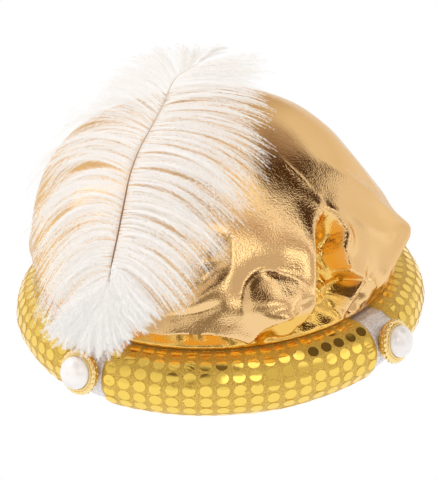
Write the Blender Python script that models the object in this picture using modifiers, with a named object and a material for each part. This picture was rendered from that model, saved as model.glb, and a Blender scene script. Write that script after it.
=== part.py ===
"""Sultan turban, a costume hat.

A padded oval roll in dotted gold cloth is pinched by four bands of silver cloth. Inside it
rises a hollow crown of pleated gold lame. Brooches, each a pearl in a rope-edged gold bezel,
sit on the front band and on both side bands. An ostrich plume stands behind the front brooch
and lies back over the crown.

Units are metres, +Z up, and the wearer faces -Y. The origin is on the surface that the hat
rests on, under the middle of its outline. Angles round the ring start at the front, in
degrees, and grow towards the wearer's left, +X. Turns round the roll's section start at its
outer side and grow upwards.
"""
import math
from collections import namedtuple

import bmesh
import bpy
import numpy as np
from mathutils import Matrix, Vector

HAT = "sultan_turban"

# Roll
RING_HALF_WIDTH = 0.1100
RING_HALF_DEPTH = 0.1188
ROLL_RADIUS = 0.0198
REST_DENT = 0.0012
SECTION_SIDES = 16
SLEEVE_STATIONS = 8

# Bands
BAND_ANGLES = {"front": 0.0, "left": 90.0, "back": 180.0, "right": -90.0}
BAND_WIDTH = 0.0210
BAND_WALL = 0.0012
WAIST_RADIUS = 0.0158
SHOULDER_LENGTH = 0.0055

# Brooches
BROOCH_SIDES = ("front", "left", "right")
BROOCH_TURN = 15.0
BEZEL_RADIUS = 0.0135
BEZEL_HEIGHT = 0.0056
BEZEL_CUP_DEPTH = 0.0016
BEZEL_HUB_RADIUS = 0.0080
ROPE_LAY = 0.0005
ROPE_STRANDS = 16
PEARL_RADIUS = 0.0099
PEARL_GIRDLE = 0.0022
PEARL_DOME = 0.0072

# Crown
CROWN_TOP = 0.1560
CROWN_WALL = 0.0015
CROWN_LEAN = 0.0060
CROWN_LEAN_ANGLE = -53.0
FOLD_SIZE = 0.0100
CROWN_SECTORS = 56
CROWN_RINGS = 19
SECTOR_CROWDING = 0.60
RING_CROWDING = 0.40
FOLDED_ANGLE = 72.0
FOLDED_RISE = 0.52
FOLDED_SPREAD = 45.0
FOLD_SLANT = 43.0

# Plume
QUILL_RADIUS = 0.0014
QUILL_TIP_RADIUS = 0.0006
PLUME_CLEARANCE = 0.0100
LOCK_ROOT_WIDTH = 0.0040
LOCK_WIDTH = 0.0130
LOCK_TIP_WIDTH = 0.0025
LOCK_WALL = 0.0016
LOCK_SEGMENTS = 5
QUILL_STATIONS = 20

# Clearances
GAP = 0.0003
CLOTH_GAP = 0.0005

# Where the crown's cloth follows the roll, it keeps to the corners of the roll's section.
SECTION_STEP = 360.0 / SECTION_SIDES
TUCK_TURNS = tuple(180.0 - SECTION_STEP * (k - 0.5) for k in range(4))

# The crown above the roll: radius as a share of the ring's centreline, height as a share of
# the way from the top of the roll to the top of the crown.
Section = namedtuple("Section", "radius height")
CROWN_PROFILE = (
    Section(0.996, 0.015),
    Section(1.016, 0.060),
    Section(1.032, 0.120),
    Section(1.042, 0.190),
    Section(1.032, 0.270),
    Section(0.996, 0.370),
    Section(0.934, 0.485),
    Section(0.846, 0.600),
    Section(0.727, 0.715),
    Section(0.583, 0.820),
    Section(0.408, 0.910),
    Section(0.212, 0.970),
    Section(0.000, 1.000),
)

# Broad swells of the crown. Angle in degrees, rise as a share of the way from hem to top,
# lift in fold sizes outwards. Spreads are in the same measures as what they spread.
Swell = namedtuple("Swell", "name lift angle angle_spread rise rise_spread")
SWELLS = (
    Swell("full_right_shoulder", 0.90, -72.0, 42.0, 0.700, 0.140),
    Swell("flat_left_flank", -0.55, 138.0, 44.0, 0.640, 0.130),
    Swell("left_corner", 0.60, 124.0, 10.0, 0.455, 0.045),
    Swell("front_lobe", 0.55, 55.0, 11.0, 0.500, 0.070),
)

# Folds of the crown. Each runs through its stops, pairs of angle and rise. Lift and widths are
# in fold sizes: a fold dies away over `before` on the side that the angles grow from when it
# climbs, and over `after` on the other side.
Fold = namedtuple("Fold", "name lift before after stops")
FOLDS = (
    Fold("pocket", -1.00, 0.75, 0.75, ((83, 0.68), (80, 0.62), (77, 0.57), (75, 0.50), (73, 0.42), (69, 0.35))),
    Fold("pocket_front_ridge", 0.50, 1.00, 0.60, ((79, 0.70), (72, 0.63), (67, 0.55), (64, 0.46), (59, 0.37))),
    Fold("pocket_rear_ridge", 0.60, 0.60, 0.90, ((85, 0.69), (89, 0.62), (86, 0.54), (87, 0.48), (80, 0.39))),
    Fold("rear_tuck", -0.45, 0.60, 0.60, ((90, 0.47), (86, 0.39), (83, 0.31))),
    Fold("lobe_crease", -0.45, 0.60, 0.60, ((44, 0.42), (45, 0.54), (52, 0.61), (61, 0.58), (67, 0.50))),
    Fold("lobe_tuck", -0.40, 0.60, 0.60, ((60, 0.43), (56, 0.46), (51, 0.42), (47, 0.36))),
    Fold("front_hem_fold", 0.40, 0.70, 0.60, ((5, 0.30), (21, 0.39), (34, 0.43), (43, 0.37), (50, 0.33))),
    Fold("front_hollow", -0.35, 0.80, 0.80, ((-6, 0.58), (12, 0.63), (24, 0.62), (34, 0.66), (44, 0.72))),
    Fold("rear_hem_fold", 0.35, 0.70, 0.70, ((88, 0.34), (100, 0.42), (112, 0.44), (124, 0.45))),
    Fold("corner_ridge", 0.30, 0.80, 0.80, ((124, 0.45), (118, 0.56), (108, 0.68), (97, 0.78))),
    Fold("back_fold", 0.40, 1.10, 0.70, ((160, 0.36), (166, 0.52), (170, 0.68), (172, 0.80))),
    Fold("back_hollow", -0.35, 0.90, 0.90, ((184, 0.34), (188, 0.50), (192, 0.66))),
    Fold("right_fold", 0.40, 0.70, 1.10, ((228, 0.36), (222, 0.52), (218, 0.66), (215, 0.78))),
    Fold("right_hollow", -0.35, 0.90, 0.90, ((252, 0.34), (250, 0.48), (247, 0.62))),
    Fold("right_hem_fold", 0.35, 0.60, 0.60, ((285, 0.33), (296, 0.41), (309, 0.42), (322, 0.34))),
)

# The quill's rise from the front band: angle, rise and clearance from the crown in plume
# clearances, below which it leaves the band's top between these turns.
QUILL_BAND_TURNS = (50.0, 60.0, 70.0)
Stop = namedtuple("Stop", "angle rise clearance")
QUILL_STOPS = (
    Stop(5.0, 0.353, 1.10),
    Stop(8.0, 0.455, 0.90),
    Stop(9.0, 0.532, 0.90),
    Stop(9.0, 0.600, 0.95),
    Stop(9.0, 0.655, 1.05),
    Stop(9.0, 0.710, 1.20),
    Stop(7.0, 0.762, 1.40),
    Stop(5.0, 0.812, 1.60),
    Stop(-3.0, 0.862, 1.75),
    Stop(-12.0, 0.915, 1.80),
    Stop(-20.0, 0.948, 1.90),
    Stop(-46.0, 0.972, 2.00),
)

# Locks of the plume: where each leaves the quill, as a share of the quill's length, and where
# its tip hangs over the crown, in the measures of the quill's stops.
Lock = namedtuple("Lock", "root angle rise clearance")
LOCKS = (
    Lock(0.17, -10.0, 0.300, 1.10),
    Lock(0.22, -18.0, 0.370, 0.85),
    Lock(0.28, -21.0, 0.450, 0.80),
    Lock(0.34, -25.0, 0.527, 0.90),
    Lock(0.41, -33.0, 0.617, 1.00),
    Lock(0.49, -47.0, 0.630, 1.20),
    Lock(0.56, -60.0, 0.680, 1.30),
    Lock(0.63, -68.0, 0.743, 1.60),
    Lock(0.71, -75.0, 0.800, 1.95),
    Lock(0.78, -80.0, 0.827, 2.40),
    Lock(0.85, -92.0, 0.863, 2.50),
    Lock(0.92, -108.0, 0.887, 2.60),
    Lock(0.97, -128.0, 0.900, 2.60),
    Lock(0.99, -160.0, 0.900, 2.20),
    Lock(0.97, 160.0, 0.900, 1.60),
    Lock(0.92, 120.0, 0.920, 1.00),
    Lock(0.85, 92.0, 0.890, 0.90),
    Lock(0.78, 76.0, 0.850, 0.90),
    Lock(0.71, 66.0, 0.800, 0.90),
    Lock(0.64, 60.0, 0.760, 0.90),
    Lock(0.57, 55.0, 0.715, 0.90),
    Lock(0.50, 47.0, 0.670, 0.90),
    Lock(0.43, 40.0, 0.610, 0.90),
    Lock(0.36, 33.0, 0.560, 0.90),
    Lock(0.29, 26.0, 0.500, 0.90),
    Lock(0.23, 18.0, 0.430, 0.90),
    Lock(0.17, 9.0, 0.330, 1.00),
)

ROLL_HEIGHT = ROLL_RADIUS - REST_DENT
BAND_OUTSIDE = WAIST_RADIUS + GAP + BAND_WALL
BEZEL_FRONT = ROLL_RADIUS + BEZEL_HEIGHT - GAP
PEARL_SEAT = BEZEL_FRONT - BEZEL_CUP_DEPTH + GAP
BROOCH_REACH = PEARL_SEAT + PEARL_GIRDLE + PEARL_DOME

# A brooch stands out in front and only a band at the back, so the ring's middle sits back.
RING_BACK = (BROOCH_REACH * math.cos(math.radians(BROOCH_TURN)) - BAND_OUTSIDE) / 2


def ring_direction(angle):
    """Unit vectors from the ring's middle to its centreline, and the length there."""
    angle = np.asarray(angle, float)
    sideways = RING_HALF_WIDTH * np.sin(np.radians(angle))
    forwards = -RING_HALF_DEPTH * np.cos(np.radians(angle))
    length = np.hypot(sideways, forwards)
    return np.stack([sideways / length, forwards / length, 0 * length], -1), length


def ring_frame(angle):
    """Centreline point, outward normal in plan and forward tangent of the ring."""
    direction, length = ring_direction(angle)
    centre = direction * length[..., None] + np.array([0.0, RING_BACK, ROLL_HEIGHT])
    turn = np.radians(np.asarray(angle, float))
    outward = np.stack([RING_HALF_DEPTH * np.sin(turn), -RING_HALF_WIDTH * np.cos(turn), 0 * turn], -1)
    outward /= np.linalg.norm(outward, axis=-1, keepdims=True)
    along = np.cross([0.0, 0.0, 1.0], outward)
    return centre, outward, along


def tube_point(angle, turn, radius):
    """Point round the roll: an angle round the ring, a turn round the section, a radius."""
    centre, outward, _ = ring_frame(angle)
    turn = np.radians(np.asarray(turn, float))[..., None]
    radius = np.asarray(radius, float)[..., None]
    return centre + radius * (np.cos(turn) * outward + np.sin(turn) * np.array([0.0, 0.0, 1.0]))


def arc_to_degrees(band_angle, length):
    """Degrees of ring angle that a length along the centreline spans beside a band."""
    turn = math.radians(band_angle)
    speed = math.hypot(RING_HALF_WIDTH * math.cos(turn), RING_HALF_DEPTH * math.sin(turn))
    return math.degrees(length / speed)


def sleeve_radius(distance):
    """Radius of the roll at a distance along the ring from the middle of a band."""
    into_shoulder = (abs(distance) - BAND_WIDTH / 2) / SHOULDER_LENGTH
    share = min(max(into_shoulder, 0.0), 1.0)
    return WAIST_RADIUS + (ROLL_RADIUS - WAIST_RADIUS) * math.sqrt(1 - (1 - share) ** 2)


def roll_stations():
    """Pairs of ring angle and distance from the nearest band, all the way round."""
    half_band = BAND_WIDTH / 2
    shoulder = [half_band + SHOULDER_LENGTH * share for share in (0.0, 0.12, 0.45, 1.0)]
    offsets = [-x for x in reversed(shoulder)] + [0.0] + shoulder
    stations = []
    for band_angle in sorted(BAND_ANGLES.values()):
        for offset in offsets:
            stations.append((band_angle + arc_to_degrees(band_angle, offset), offset))
        start = band_angle + arc_to_degrees(band_angle, offsets[-1])
        end = band_angle + 90.0 - arc_to_degrees(band_angle + 90.0, offsets[-1])
        for k in range(1, SLEEVE_STATIONS + 1):
            angle = start + (end - start) * k / (SLEEVE_STATIONS + 1)
            stations.append((angle, offsets[-1] + SHOULDER_LENGTH))
    return stations


def spline(points, place):
    """Smooth curve through points, at places counted in points from the first."""
    points = np.asarray(points, float)
    padded = np.vstack([2 * points[0] - points[1], points, 2 * points[-1] - points[-2]])
    index = np.clip(np.floor(place).astype(int), 0, len(points) - 2)
    u = (place - index)[..., None]
    a, b, c, d = (padded[index + k] for k in range(4))
    return 0.5 * (2 * b + (c - a) * u + (2 * a - 5 * b + 4 * c - d) * u**2 + (3 * b - a - 3 * c + d) * u**3)


def crown_sections():
    """The crown's section over the ring's side: distance inside the centreline as a share
    of it, and height, from hem to top."""
    sections = []
    for turn in TUCK_TURNS:
        reach = ROLL_RADIUS + CLOTH_GAP
        radius = RING_HALF_WIDTH + reach * math.cos(math.radians(turn))
        sections.append((radius / RING_HALF_WIDTH, ROLL_HEIGHT + reach * math.sin(math.radians(turn))))
    roll_top = ROLL_HEIGHT + ROLL_RADIUS
    for section in CROWN_PROFILE:
        sections.append((section.radius, roll_top + section.height * (CROWN_TOP - roll_top)))
    return sections


def crown_base(angle, rise):
    """The crown's smooth form, before its swells and folds."""
    sections = crown_sections()
    rise = np.clip(np.asarray(rise, float), 0.0, 1.0)
    across = spline(sections, rise * (len(sections) - 1))
    direction, length = ring_direction(angle)
    height = across[..., 1]
    # In the tuck the cloth keeps its distance from the roll, so there it is measured from
    # the centreline and not as a share of it.
    tucked = np.clip(1 - (height - ROLL_HEIGHT) / (2 * ROLL_RADIUS), 0.0, 1.0)
    radius = across[..., 0] * length
    beside = length - (1 - across[..., 0]) * RING_HALF_WIDTH
    radius = radius + (beside - radius) * tucked
    point = direction * radius[..., None] + np.array([0.0, RING_BACK, 0.0])
    point[..., 2] = height
    roll_top = ROLL_HEIGHT + ROLL_RADIUS
    up = np.clip((height - roll_top) / (CROWN_TOP - roll_top), 0.0, 1.0)
    lean = math.radians(CROWN_LEAN_ANGLE)
    shift = CROWN_LEAN * up * (2 - up)
    point[..., 0] += shift * math.sin(lean)
    point[..., 1] -= shift * math.cos(lean)
    return point


def crown_normal(angle, rise):
    """Outward unit normals of the crown's smooth form."""
    step = 0.01
    rise = np.clip(rise, 0.0, 1.0 - 0.2 * step)
    around = crown_base(np.asarray(angle) + step * 90, rise) - crown_base(np.asarray(angle) - step * 90, rise)
    upward = crown_base(angle, np.asarray(rise) + step) - crown_base(angle, np.asarray(rise) - step)
    normal = np.cross(around, upward)
    return normal / np.linalg.norm(normal, axis=-1, keepdims=True)


def swell_height(swell, angle, rise):
    """Lift of one swell, which fades as a bell curve."""
    turned = (np.asarray(angle) - swell.angle + 180.0) % 360.0 - 180.0
    distance = (turned / swell.angle_spread) ** 2 + ((rise - swell.rise) / swell.rise_spread) ** 2
    return swell.lift * FOLD_SIZE * np.exp(-distance)


def fold_height(fold, points, normals):
    """Lift of one fold at points of the smooth crown, from their distance to its line."""
    samples = np.linspace(0, len(fold.stops) - 1, 4 * len(fold.stops))
    stops = spline(fold.stops, samples)
    line = crown_base(stops[:, 0], stops[:, 1])
    start, run = line[:-1], np.diff(line, axis=0)
    to_point = points[..., None, :] - start
    along = np.clip((to_point * run).sum(-1) / (run * run).sum(-1), 0.0, 1.0)
    offset = to_point - along[..., None] * run
    distance = np.linalg.norm(offset, axis=-1)
    nearest = distance.argmin(-1)
    pick = nearest[..., None]
    reached = (pick + np.take_along_axis(along, pick, -1))[..., 0] / len(run)
    distance = np.take_along_axis(distance, pick, -1)[..., 0]
    side = np.cross(run[nearest], np.take_along_axis(offset, pick[..., None], -2)[..., 0, :])
    before = (side * normals).sum(-1) > 0
    width = np.where(before, fold.before, fold.after) * FOLD_SIZE
    ends = np.clip(4 * np.minimum(reached, 1 - reached), 0.15, 1.0)
    return fold.lift * FOLD_SIZE * ends * np.exp(-((distance / width) ** 2))


def crown_point(angle, rise):
    """The crown's outer surface, with its swells and folds."""
    points = crown_base(angle, rise)
    normals = crown_normal(angle, rise)
    lift = sum(swell_height(swell, angle, rise) for swell in SWELLS)
    lift = lift + sum(fold_height(fold, points, normals) for fold in FOLDS)
    sections = len(crown_sections()) - 1
    free = np.clip(np.asarray(rise) * sections - len(TUCK_TURNS), 0.0, 1.0)
    return points + (lift * free)[..., None] * normals


def above_crown(angle, rise, clearance):
    """Point that hangs clear of the crown's smooth form, by plume clearances."""
    angle = np.asarray(angle, float)
    rise = np.asarray(rise, float)
    off = np.asarray(clearance, float)[..., None] * PLUME_CLEARANCE
    return crown_base(angle, rise) + off * crown_normal(angle, rise)


def quill_points():
    """The quill's line, from behind the front bezel to its tip over the crown."""
    clear = BAND_OUTSIDE + CLOTH_GAP + QUILL_RADIUS
    foot = [tube_point(BAND_ANGLES["front"], turn, clear) for turn in QUILL_BAND_TURNS]
    rest = [above_crown(*stop) for stop in QUILL_STOPS]
    return np.array(foot + rest)


def new_collection(name):
    collection = bpy.data.collections.new(name)
    bpy.context.scene.collection.children.link(collection)
    return collection


def make_object(name, mesh, collection):
    piece = bpy.data.objects.new(name, mesh)
    collection.objects.link(piece)
    return piece


def take_primitive(name, collection):
    """Name the primitive that was just added and move it to a collection."""
    piece = bpy.context.object
    piece.name = name
    piece.data.name = name
    for owner in list(piece.users_collection):
        owner.objects.unlink(piece)
    collection.objects.link(piece)
    return piece


def material(name, colour, roughness, metallic):
    made = bpy.data.materials.new(name)
    made.use_nodes = True
    shader = made.node_tree.nodes["Principled BSDF"]
    shader.inputs["Base Color"].default_value = (*colour, 1.0)
    shader.inputs["Roughness"].default_value = roughness
    shader.inputs["Metallic"].default_value = metallic
    return made


def freeze(piece):
    """Replace a piece's mesh by what its modifiers make of it."""
    bpy.context.view_layer.update()
    evaluated = piece.evaluated_get(bpy.context.evaluated_depsgraph_get())
    mesh = bpy.data.meshes.new_from_object(evaluated)
    piece.modifiers.clear()
    piece.data = mesh
    return piece


def shade(piece, angle):
    piece.data.shade_smooth()
    piece.data.set_sharp_from_angle(angle=math.radians(angle))


def add_boolean(piece, other, operation):
    modifier = piece.modifiers.new(operation.lower(), "BOOLEAN")
    modifier.operation = operation
    modifier.solver = "EXACT"
    modifier.object = other


def bent_torus(name, radius_at, on_floor, collection):
    """A torus bent round the ring, with a radius that depends on the distance to a band."""
    stations = roll_stations()
    bpy.ops.mesh.primitive_torus_add(
        major_radius=1.0, minor_radius=0.5, major_segments=len(stations), minor_segments=SECTION_SIDES
    )
    piece = take_primitive(name, collection)
    for vertex in piece.data.vertices:
        place = vertex.co
        index = round(math.atan2(place.y, place.x) / math.tau * len(stations)) % len(stations)
        turn = math.degrees(math.atan2(place.z, math.hypot(place.x, place.y) - 1.0)) + SECTION_STEP / 2
        angle, distance = stations[index]
        point = tube_point(angle, turn, radius_at(distance))
        if on_floor:
            point[2] = max(point[2], 0.0)
        vertex.co = point
    return piece


def make_roll(collection):
    piece = bent_torus("roll", sleeve_radius, True, collection)
    shade(piece, 40)
    return piece


def make_band(side, collection):
    """An open tube round the roll's waist, thickened outwards."""
    mesh = bpy.data.meshes.new("band_" + side)
    build = bmesh.new()
    bmesh.ops.create_grid(build, x_segments=2, y_segments=SECTION_SIDES, size=1.0)
    band_angle = BAND_ANGLES[side]
    for vertex in build.verts:
        distance = -vertex.co.x * (BAND_WIDTH / 2 - GAP)
        turn = (vertex.co.y + 1) / 2 * 360.0 + SECTION_STEP / 2
        angle = band_angle + arc_to_degrees(band_angle, distance)
        vertex.co = tube_point(angle, turn, WAIST_RADIUS + GAP)
    bmesh.ops.remove_doubles(build, verts=build.verts, dist=GAP / 10)
    bmesh.ops.recalc_face_normals(build, faces=build.faces)
    build.to_mesh(mesh)
    build.free()
    piece = make_object("band_" + side, mesh, collection)
    wall = piece.modifiers.new("wall", "SOLIDIFY")
    wall.thickness = BAND_WALL
    wall.offset = 1.0
    wall.use_even_offset = True
    shade(piece, 40)
    return piece


def brooch_matrix(side):
    """Place of a brooch: its +Z leaves the roll's section through the middle of the band."""
    centre, outward, along = ring_frame(BAND_ANGLES[side])
    turn = math.radians(BROOCH_TURN)
    axis = Vector(outward * math.cos(turn)) + Vector((0.0, 0.0, math.sin(turn)))
    across = Vector(along)
    matrix = Matrix((across, axis.cross(across), axis)).transposed().to_4x4()
    matrix.translation = Vector(centre)
    return matrix


def turned_piece(name, profile, steps, collection):
    """A profile of radius and height pairs, listed from the top down, turned about Z."""
    mesh = bpy.data.meshes.new(name)
    mesh.from_pydata([(radius, 0.0, height) for radius, height in profile], [], [])
    mesh.edges.add(len(profile) - 1)
    for index, edge in enumerate(mesh.edges):
        edge.vertices = (index, index + 1)
    piece = make_object(name, mesh, collection)
    screw = piece.modifiers.new("turn", "SCREW")
    screw.steps = steps
    screw.render_steps = steps
    screw.use_merge_vertices = True
    screw.merge_threshold = 0.00005
    return freeze(piece)


def make_bezel(side, clearance_tube, collection):
    """A turned cup with a rope-like edge, cut at the back to sit on the band and sleeves."""
    rim = BEZEL_RADIUS
    cup = PEARL_RADIUS + GAP
    top = BEZEL_FRONT
    crest = (cup + rim) / 2
    back = ROLL_RADIUS - BEZEL_HEIGHT / 4
    profile = (
        (0.0, top - BEZEL_CUP_DEPTH),
        (cup, top - BEZEL_CUP_DEPTH),
        (cup, top - BEZEL_HEIGHT / 8),
        (crest, top),
        (rim, top - BEZEL_HEIGHT / 4),
        (rim, top - BEZEL_HEIGHT / 2),
        (crest, back),
        (BEZEL_HUB_RADIUS, back),
        (BEZEL_HUB_RADIUS, WAIST_RADIUS),
        (0.0, WAIST_RADIUS),
    )
    piece = turned_piece("bezel_" + side, profile, 2 * ROPE_STRANDS, collection)
    for vertex in piece.data.vertices:
        radius = math.hypot(vertex.co.x, vertex.co.y)
        if radius < crest - GAP:
            continue
        spoke = round(math.atan2(vertex.co.y, vertex.co.x) / math.tau * 2 * ROPE_STRANDS)
        if spoke % 2:
            vertex.co *= (radius - ROPE_LAY) / radius
    piece.matrix_world = brooch_matrix(side)
    add_boolean(piece, clearance_tube, "DIFFERENCE")
    shade(piece, 35)
    return piece


def make_pearl(side, collection):
    """A domed stone with a short straight girdle that stands in the bezel's cup."""
    shoulder = PEARL_SEAT + PEARL_GIRDLE
    profile = []
    for share in (0.0, 0.2, 0.4, 0.6, 0.8, 1.0):
        turn = math.radians(90.0 * (1 - share))
        profile.append((PEARL_RADIUS * math.cos(turn), shoulder + PEARL_DOME * math.sin(turn)))
    profile[0] = (0.0, shoulder + PEARL_DOME)
    profile.append((PEARL_RADIUS - GAP, PEARL_SEAT))
    profile.append((0.0, PEARL_SEAT))
    piece = turned_piece("pearl_" + side, profile, 20, collection)
    piece.matrix_world = brooch_matrix(side)
    shade(piece, 50)
    return piece


def crowded(share, middle):
    """Shares from 0 to 1 that crowd round a middle and keep their ends."""
    swing = RING_CROWDING / math.tau
    return share - swing * (np.sin(math.tau * (share - middle)) + math.sin(math.tau * middle))


def make_crown(collection):
    """The upper half of a sphere drawn over the crown's form, thickened inwards."""
    mesh = bpy.data.meshes.new("crown")
    build = bmesh.new()
    bmesh.ops.create_uvsphere(build, u_segments=CROWN_SECTORS, v_segments=2 * CROWN_RINGS, radius=1.0)
    below = [vertex for vertex in build.verts if vertex.co.z < -0.5 / CROWN_RINGS]
    bmesh.ops.delete(build, geom=below, context="VERTS")
    vertices = list(build.verts)
    around = np.array([math.degrees(math.atan2(v.co.y, v.co.x)) for v in vertices])
    ring = np.array([math.degrees(math.asin(min(v.co.z, 1.0))) / 90.0 for v in vertices]) * CROWN_RINGS
    # The first rings stand on the corners of the roll's section, the others share the rest.
    # Sectors and rings crowd where the deep folds are, and lean the way that they run.
    tuck = (len(TUCK_TURNS) - 1) / (len(crown_sections()) - 1)
    tuck_rings = len(TUCK_TURNS) - 1
    free = crowded((ring - tuck_rings) / (CROWN_RINGS - tuck_rings), (FOLDED_RISE - tuck) / (1 - tuck))
    rise = np.where(ring < tuck_rings + 0.5, ring / tuck_rings * tuck, tuck + free * (1 - tuck))
    around = around - np.degrees(SECTOR_CROWDING * np.sin(np.radians(around - FOLDED_ANGLE)))
    near_folds = np.exp(-(((around - FOLDED_ANGLE) / FOLDED_SPREAD) ** 2))
    around = around + FOLD_SLANT * (rise - FOLDED_RISE) * near_folds * (ring >= tuck_rings)
    points = crown_point(around, rise)
    for vertex, point in zip(vertices, points):
        vertex.co = point
    bmesh.ops.recalc_face_normals(build, faces=build.faces)
    build.to_mesh(mesh)
    build.free()
    piece = make_object("crown", mesh, collection)
    wall = piece.modifiers.new("wall", "SOLIDIFY")
    wall.thickness = CROWN_WALL
    wall.offset = -1.0
    shade(piece, 60)
    return piece


def quill_at(share):
    """Points along the quill's line at shares of its stops."""
    points = quill_points()
    return spline(points, np.asarray(share, float) * (len(points) - 1))


def make_quill(collection):
    """A tapering tube along the quill's line."""
    curve = bpy.data.curves.new("plume", "CURVE")
    curve.dimensions = "3D"
    curve.bevel_depth = QUILL_RADIUS
    curve.bevel_resolution = 2
    curve.use_fill_caps = True
    shares = np.linspace(0.0, 1.0, QUILL_STATIONS)
    path = curve.splines.new("POLY")
    path.points.add(len(shares) - 1)
    for point, place, share in zip(path.points, quill_at(shares), shares):
        point.co = (*place, 1.0)
        point.radius = 1 + (QUILL_TIP_RADIUS / QUILL_RADIUS - 1) * share
    guide = make_object("quill_line", curve, collection)
    bpy.context.view_layer.update()
    evaluated = guide.evaluated_get(bpy.context.evaluated_depsgraph_get())
    mesh = bpy.data.meshes.new_from_object(evaluated)
    build = bmesh.new()
    build.from_mesh(mesh)
    bmesh.ops.remove_doubles(build, verts=build.verts, dist=0.00001)
    bmesh.ops.recalc_face_normals(build, faces=build.faces)
    build.to_mesh(mesh)
    build.free()
    bpy.data.objects.remove(guide)
    return make_object("plume", mesh, collection)


def make_lock(index, lock, collection):
    """A thin leaf from the quill to the lock's tip, which bows up along the quill."""
    mesh = bpy.data.meshes.new("lock_%02d" % index)
    build = bmesh.new()
    bmesh.ops.create_grid(build, x_segments=1, y_segments=LOCK_SEGMENTS, size=1.0)
    root, ahead = quill_at([lock.root, min(lock.root + 0.02, 1.0)])
    behind = quill_at([lock.root - 0.02])[0]
    quill_way = (ahead - behind) / np.linalg.norm(ahead - behind)
    tip = above_crown(lock.angle, lock.rise, lock.clearance)
    span = np.linalg.norm(tip - root)
    outward = crown_normal(lock.angle, lock.rise)
    bow = root + 0.5 * (tip - root) + quill_way * span * 0.22 + outward * span * 0.20
    for vertex in build.verts:
        share = (vertex.co.y + 1) / 2
        across = vertex.co.x
        place = root * (1 - share) ** 2 + 2 * bow * share * (1 - share) + tip * share**2
        way = 2 * (1 - share) * (bow - root) + 2 * share * (tip - bow)
        side = np.cross(outward, way)
        side /= np.linalg.norm(side)
        ends = LOCK_ROOT_WIDTH + (LOCK_TIP_WIDTH - LOCK_ROOT_WIDTH) * share
        width = ends + (LOCK_WIDTH - ends) * math.sin(math.pi * share**1.3)
        vertex.co = place + side * across * width / 2
    build.to_mesh(mesh)
    build.free()
    piece = make_object(mesh.name, mesh, collection)
    wall = piece.modifiers.new("wall", "SOLIDIFY")
    wall.thickness = LOCK_WALL
    wall.offset = 0.0
    return freeze(piece)


def keep_outer_skin(piece):
    """Fill the pockets that crossing leaves enclose, by deleting their walls."""
    build = bmesh.new()
    build.from_mesh(piece.data)
    waiting = set(build.verts)
    skins = []
    while waiting:
        front = [waiting.pop()]
        skin = list(front)
        while front:
            vertex = front.pop()
            for edge in vertex.link_edges:
                other = edge.other_vert(vertex)
                if other in waiting:
                    waiting.remove(other)
                    front.append(other)
                    skin.append(other)
        skins.append(skin)
    skins.sort(key=len)
    for skin in skins[:-1]:
        bmesh.ops.delete(build, geom=skin, context="VERTS")
    build.to_mesh(piece.data)
    build.free()


def make_plume(collection, cutters):
    """The quill with every lock fused to it."""
    piece = make_quill(collection)
    for index, lock in enumerate(LOCKS):
        leaf = make_lock(index, lock, cutters)
        add_boolean(piece, leaf, "UNION")
        freeze(piece)
        bpy.data.objects.remove(leaf)
    keep_outer_skin(piece)
    shade(piece, 50)
    return piece


def build_hat():
    for old in list(bpy.data.objects):
        bpy.data.objects.remove(old)
    hat = new_collection(HAT)
    cutters = new_collection("cutters")
    dotted = material("dotted gold cloth", (0.72, 0.50, 0.12), 0.30, 0.8)
    silver = material("silver glitter cloth", (0.62, 0.58, 0.56), 0.45, 0.6)
    gold = material("gilt metal", (0.85, 0.62, 0.25), 0.25, 1.0)
    pearl = material("pearl", (0.90, 0.88, 0.85), 0.15, 0.0)
    lame = material("gold lame", (0.80, 0.52, 0.22), 0.30, 0.9)
    feather = material("ostrich feather", (0.93, 0.91, 0.88), 0.80, 0.0)

    make_roll(hat).data.materials.append(dotted)
    for side in BAND_ANGLES:
        make_band(side, hat).data.materials.append(silver)
    clearance = bent_torus(
        "brooch_clearance", lambda x: max(sleeve_radius(x), BAND_OUTSIDE) + GAP, False, cutters
    )
    clearance.hide_render = True
    clearance.display_type = "WIRE"
    for side in BROOCH_SIDES:
        make_bezel(side, clearance, hat).data.materials.append(gold)
        make_pearl(side, hat).data.materials.append(pearl)
    make_crown(hat).data.materials.append(lame)
    make_plume(hat, cutters).data.materials.append(feather)


build_hat()
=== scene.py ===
"""Looks of the sultan turban, a costume hat, on a white ground.

The crown, roll, bands, brooches and plume of the frame are replaced by finer pieces of the same
size in the same places. Units are metres, +Z up, and the wearer faces -Y. Angles round the ring
start at the front, in degrees, and grow towards +X. Turns round the roll's section start at its
outer side and grow upwards. Rises on the crown run from its hem, 0, to its top, 1.
"""
import math
from collections import namedtuple

import bpy
import numpy as np
from mathutils import Matrix, Vector

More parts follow.
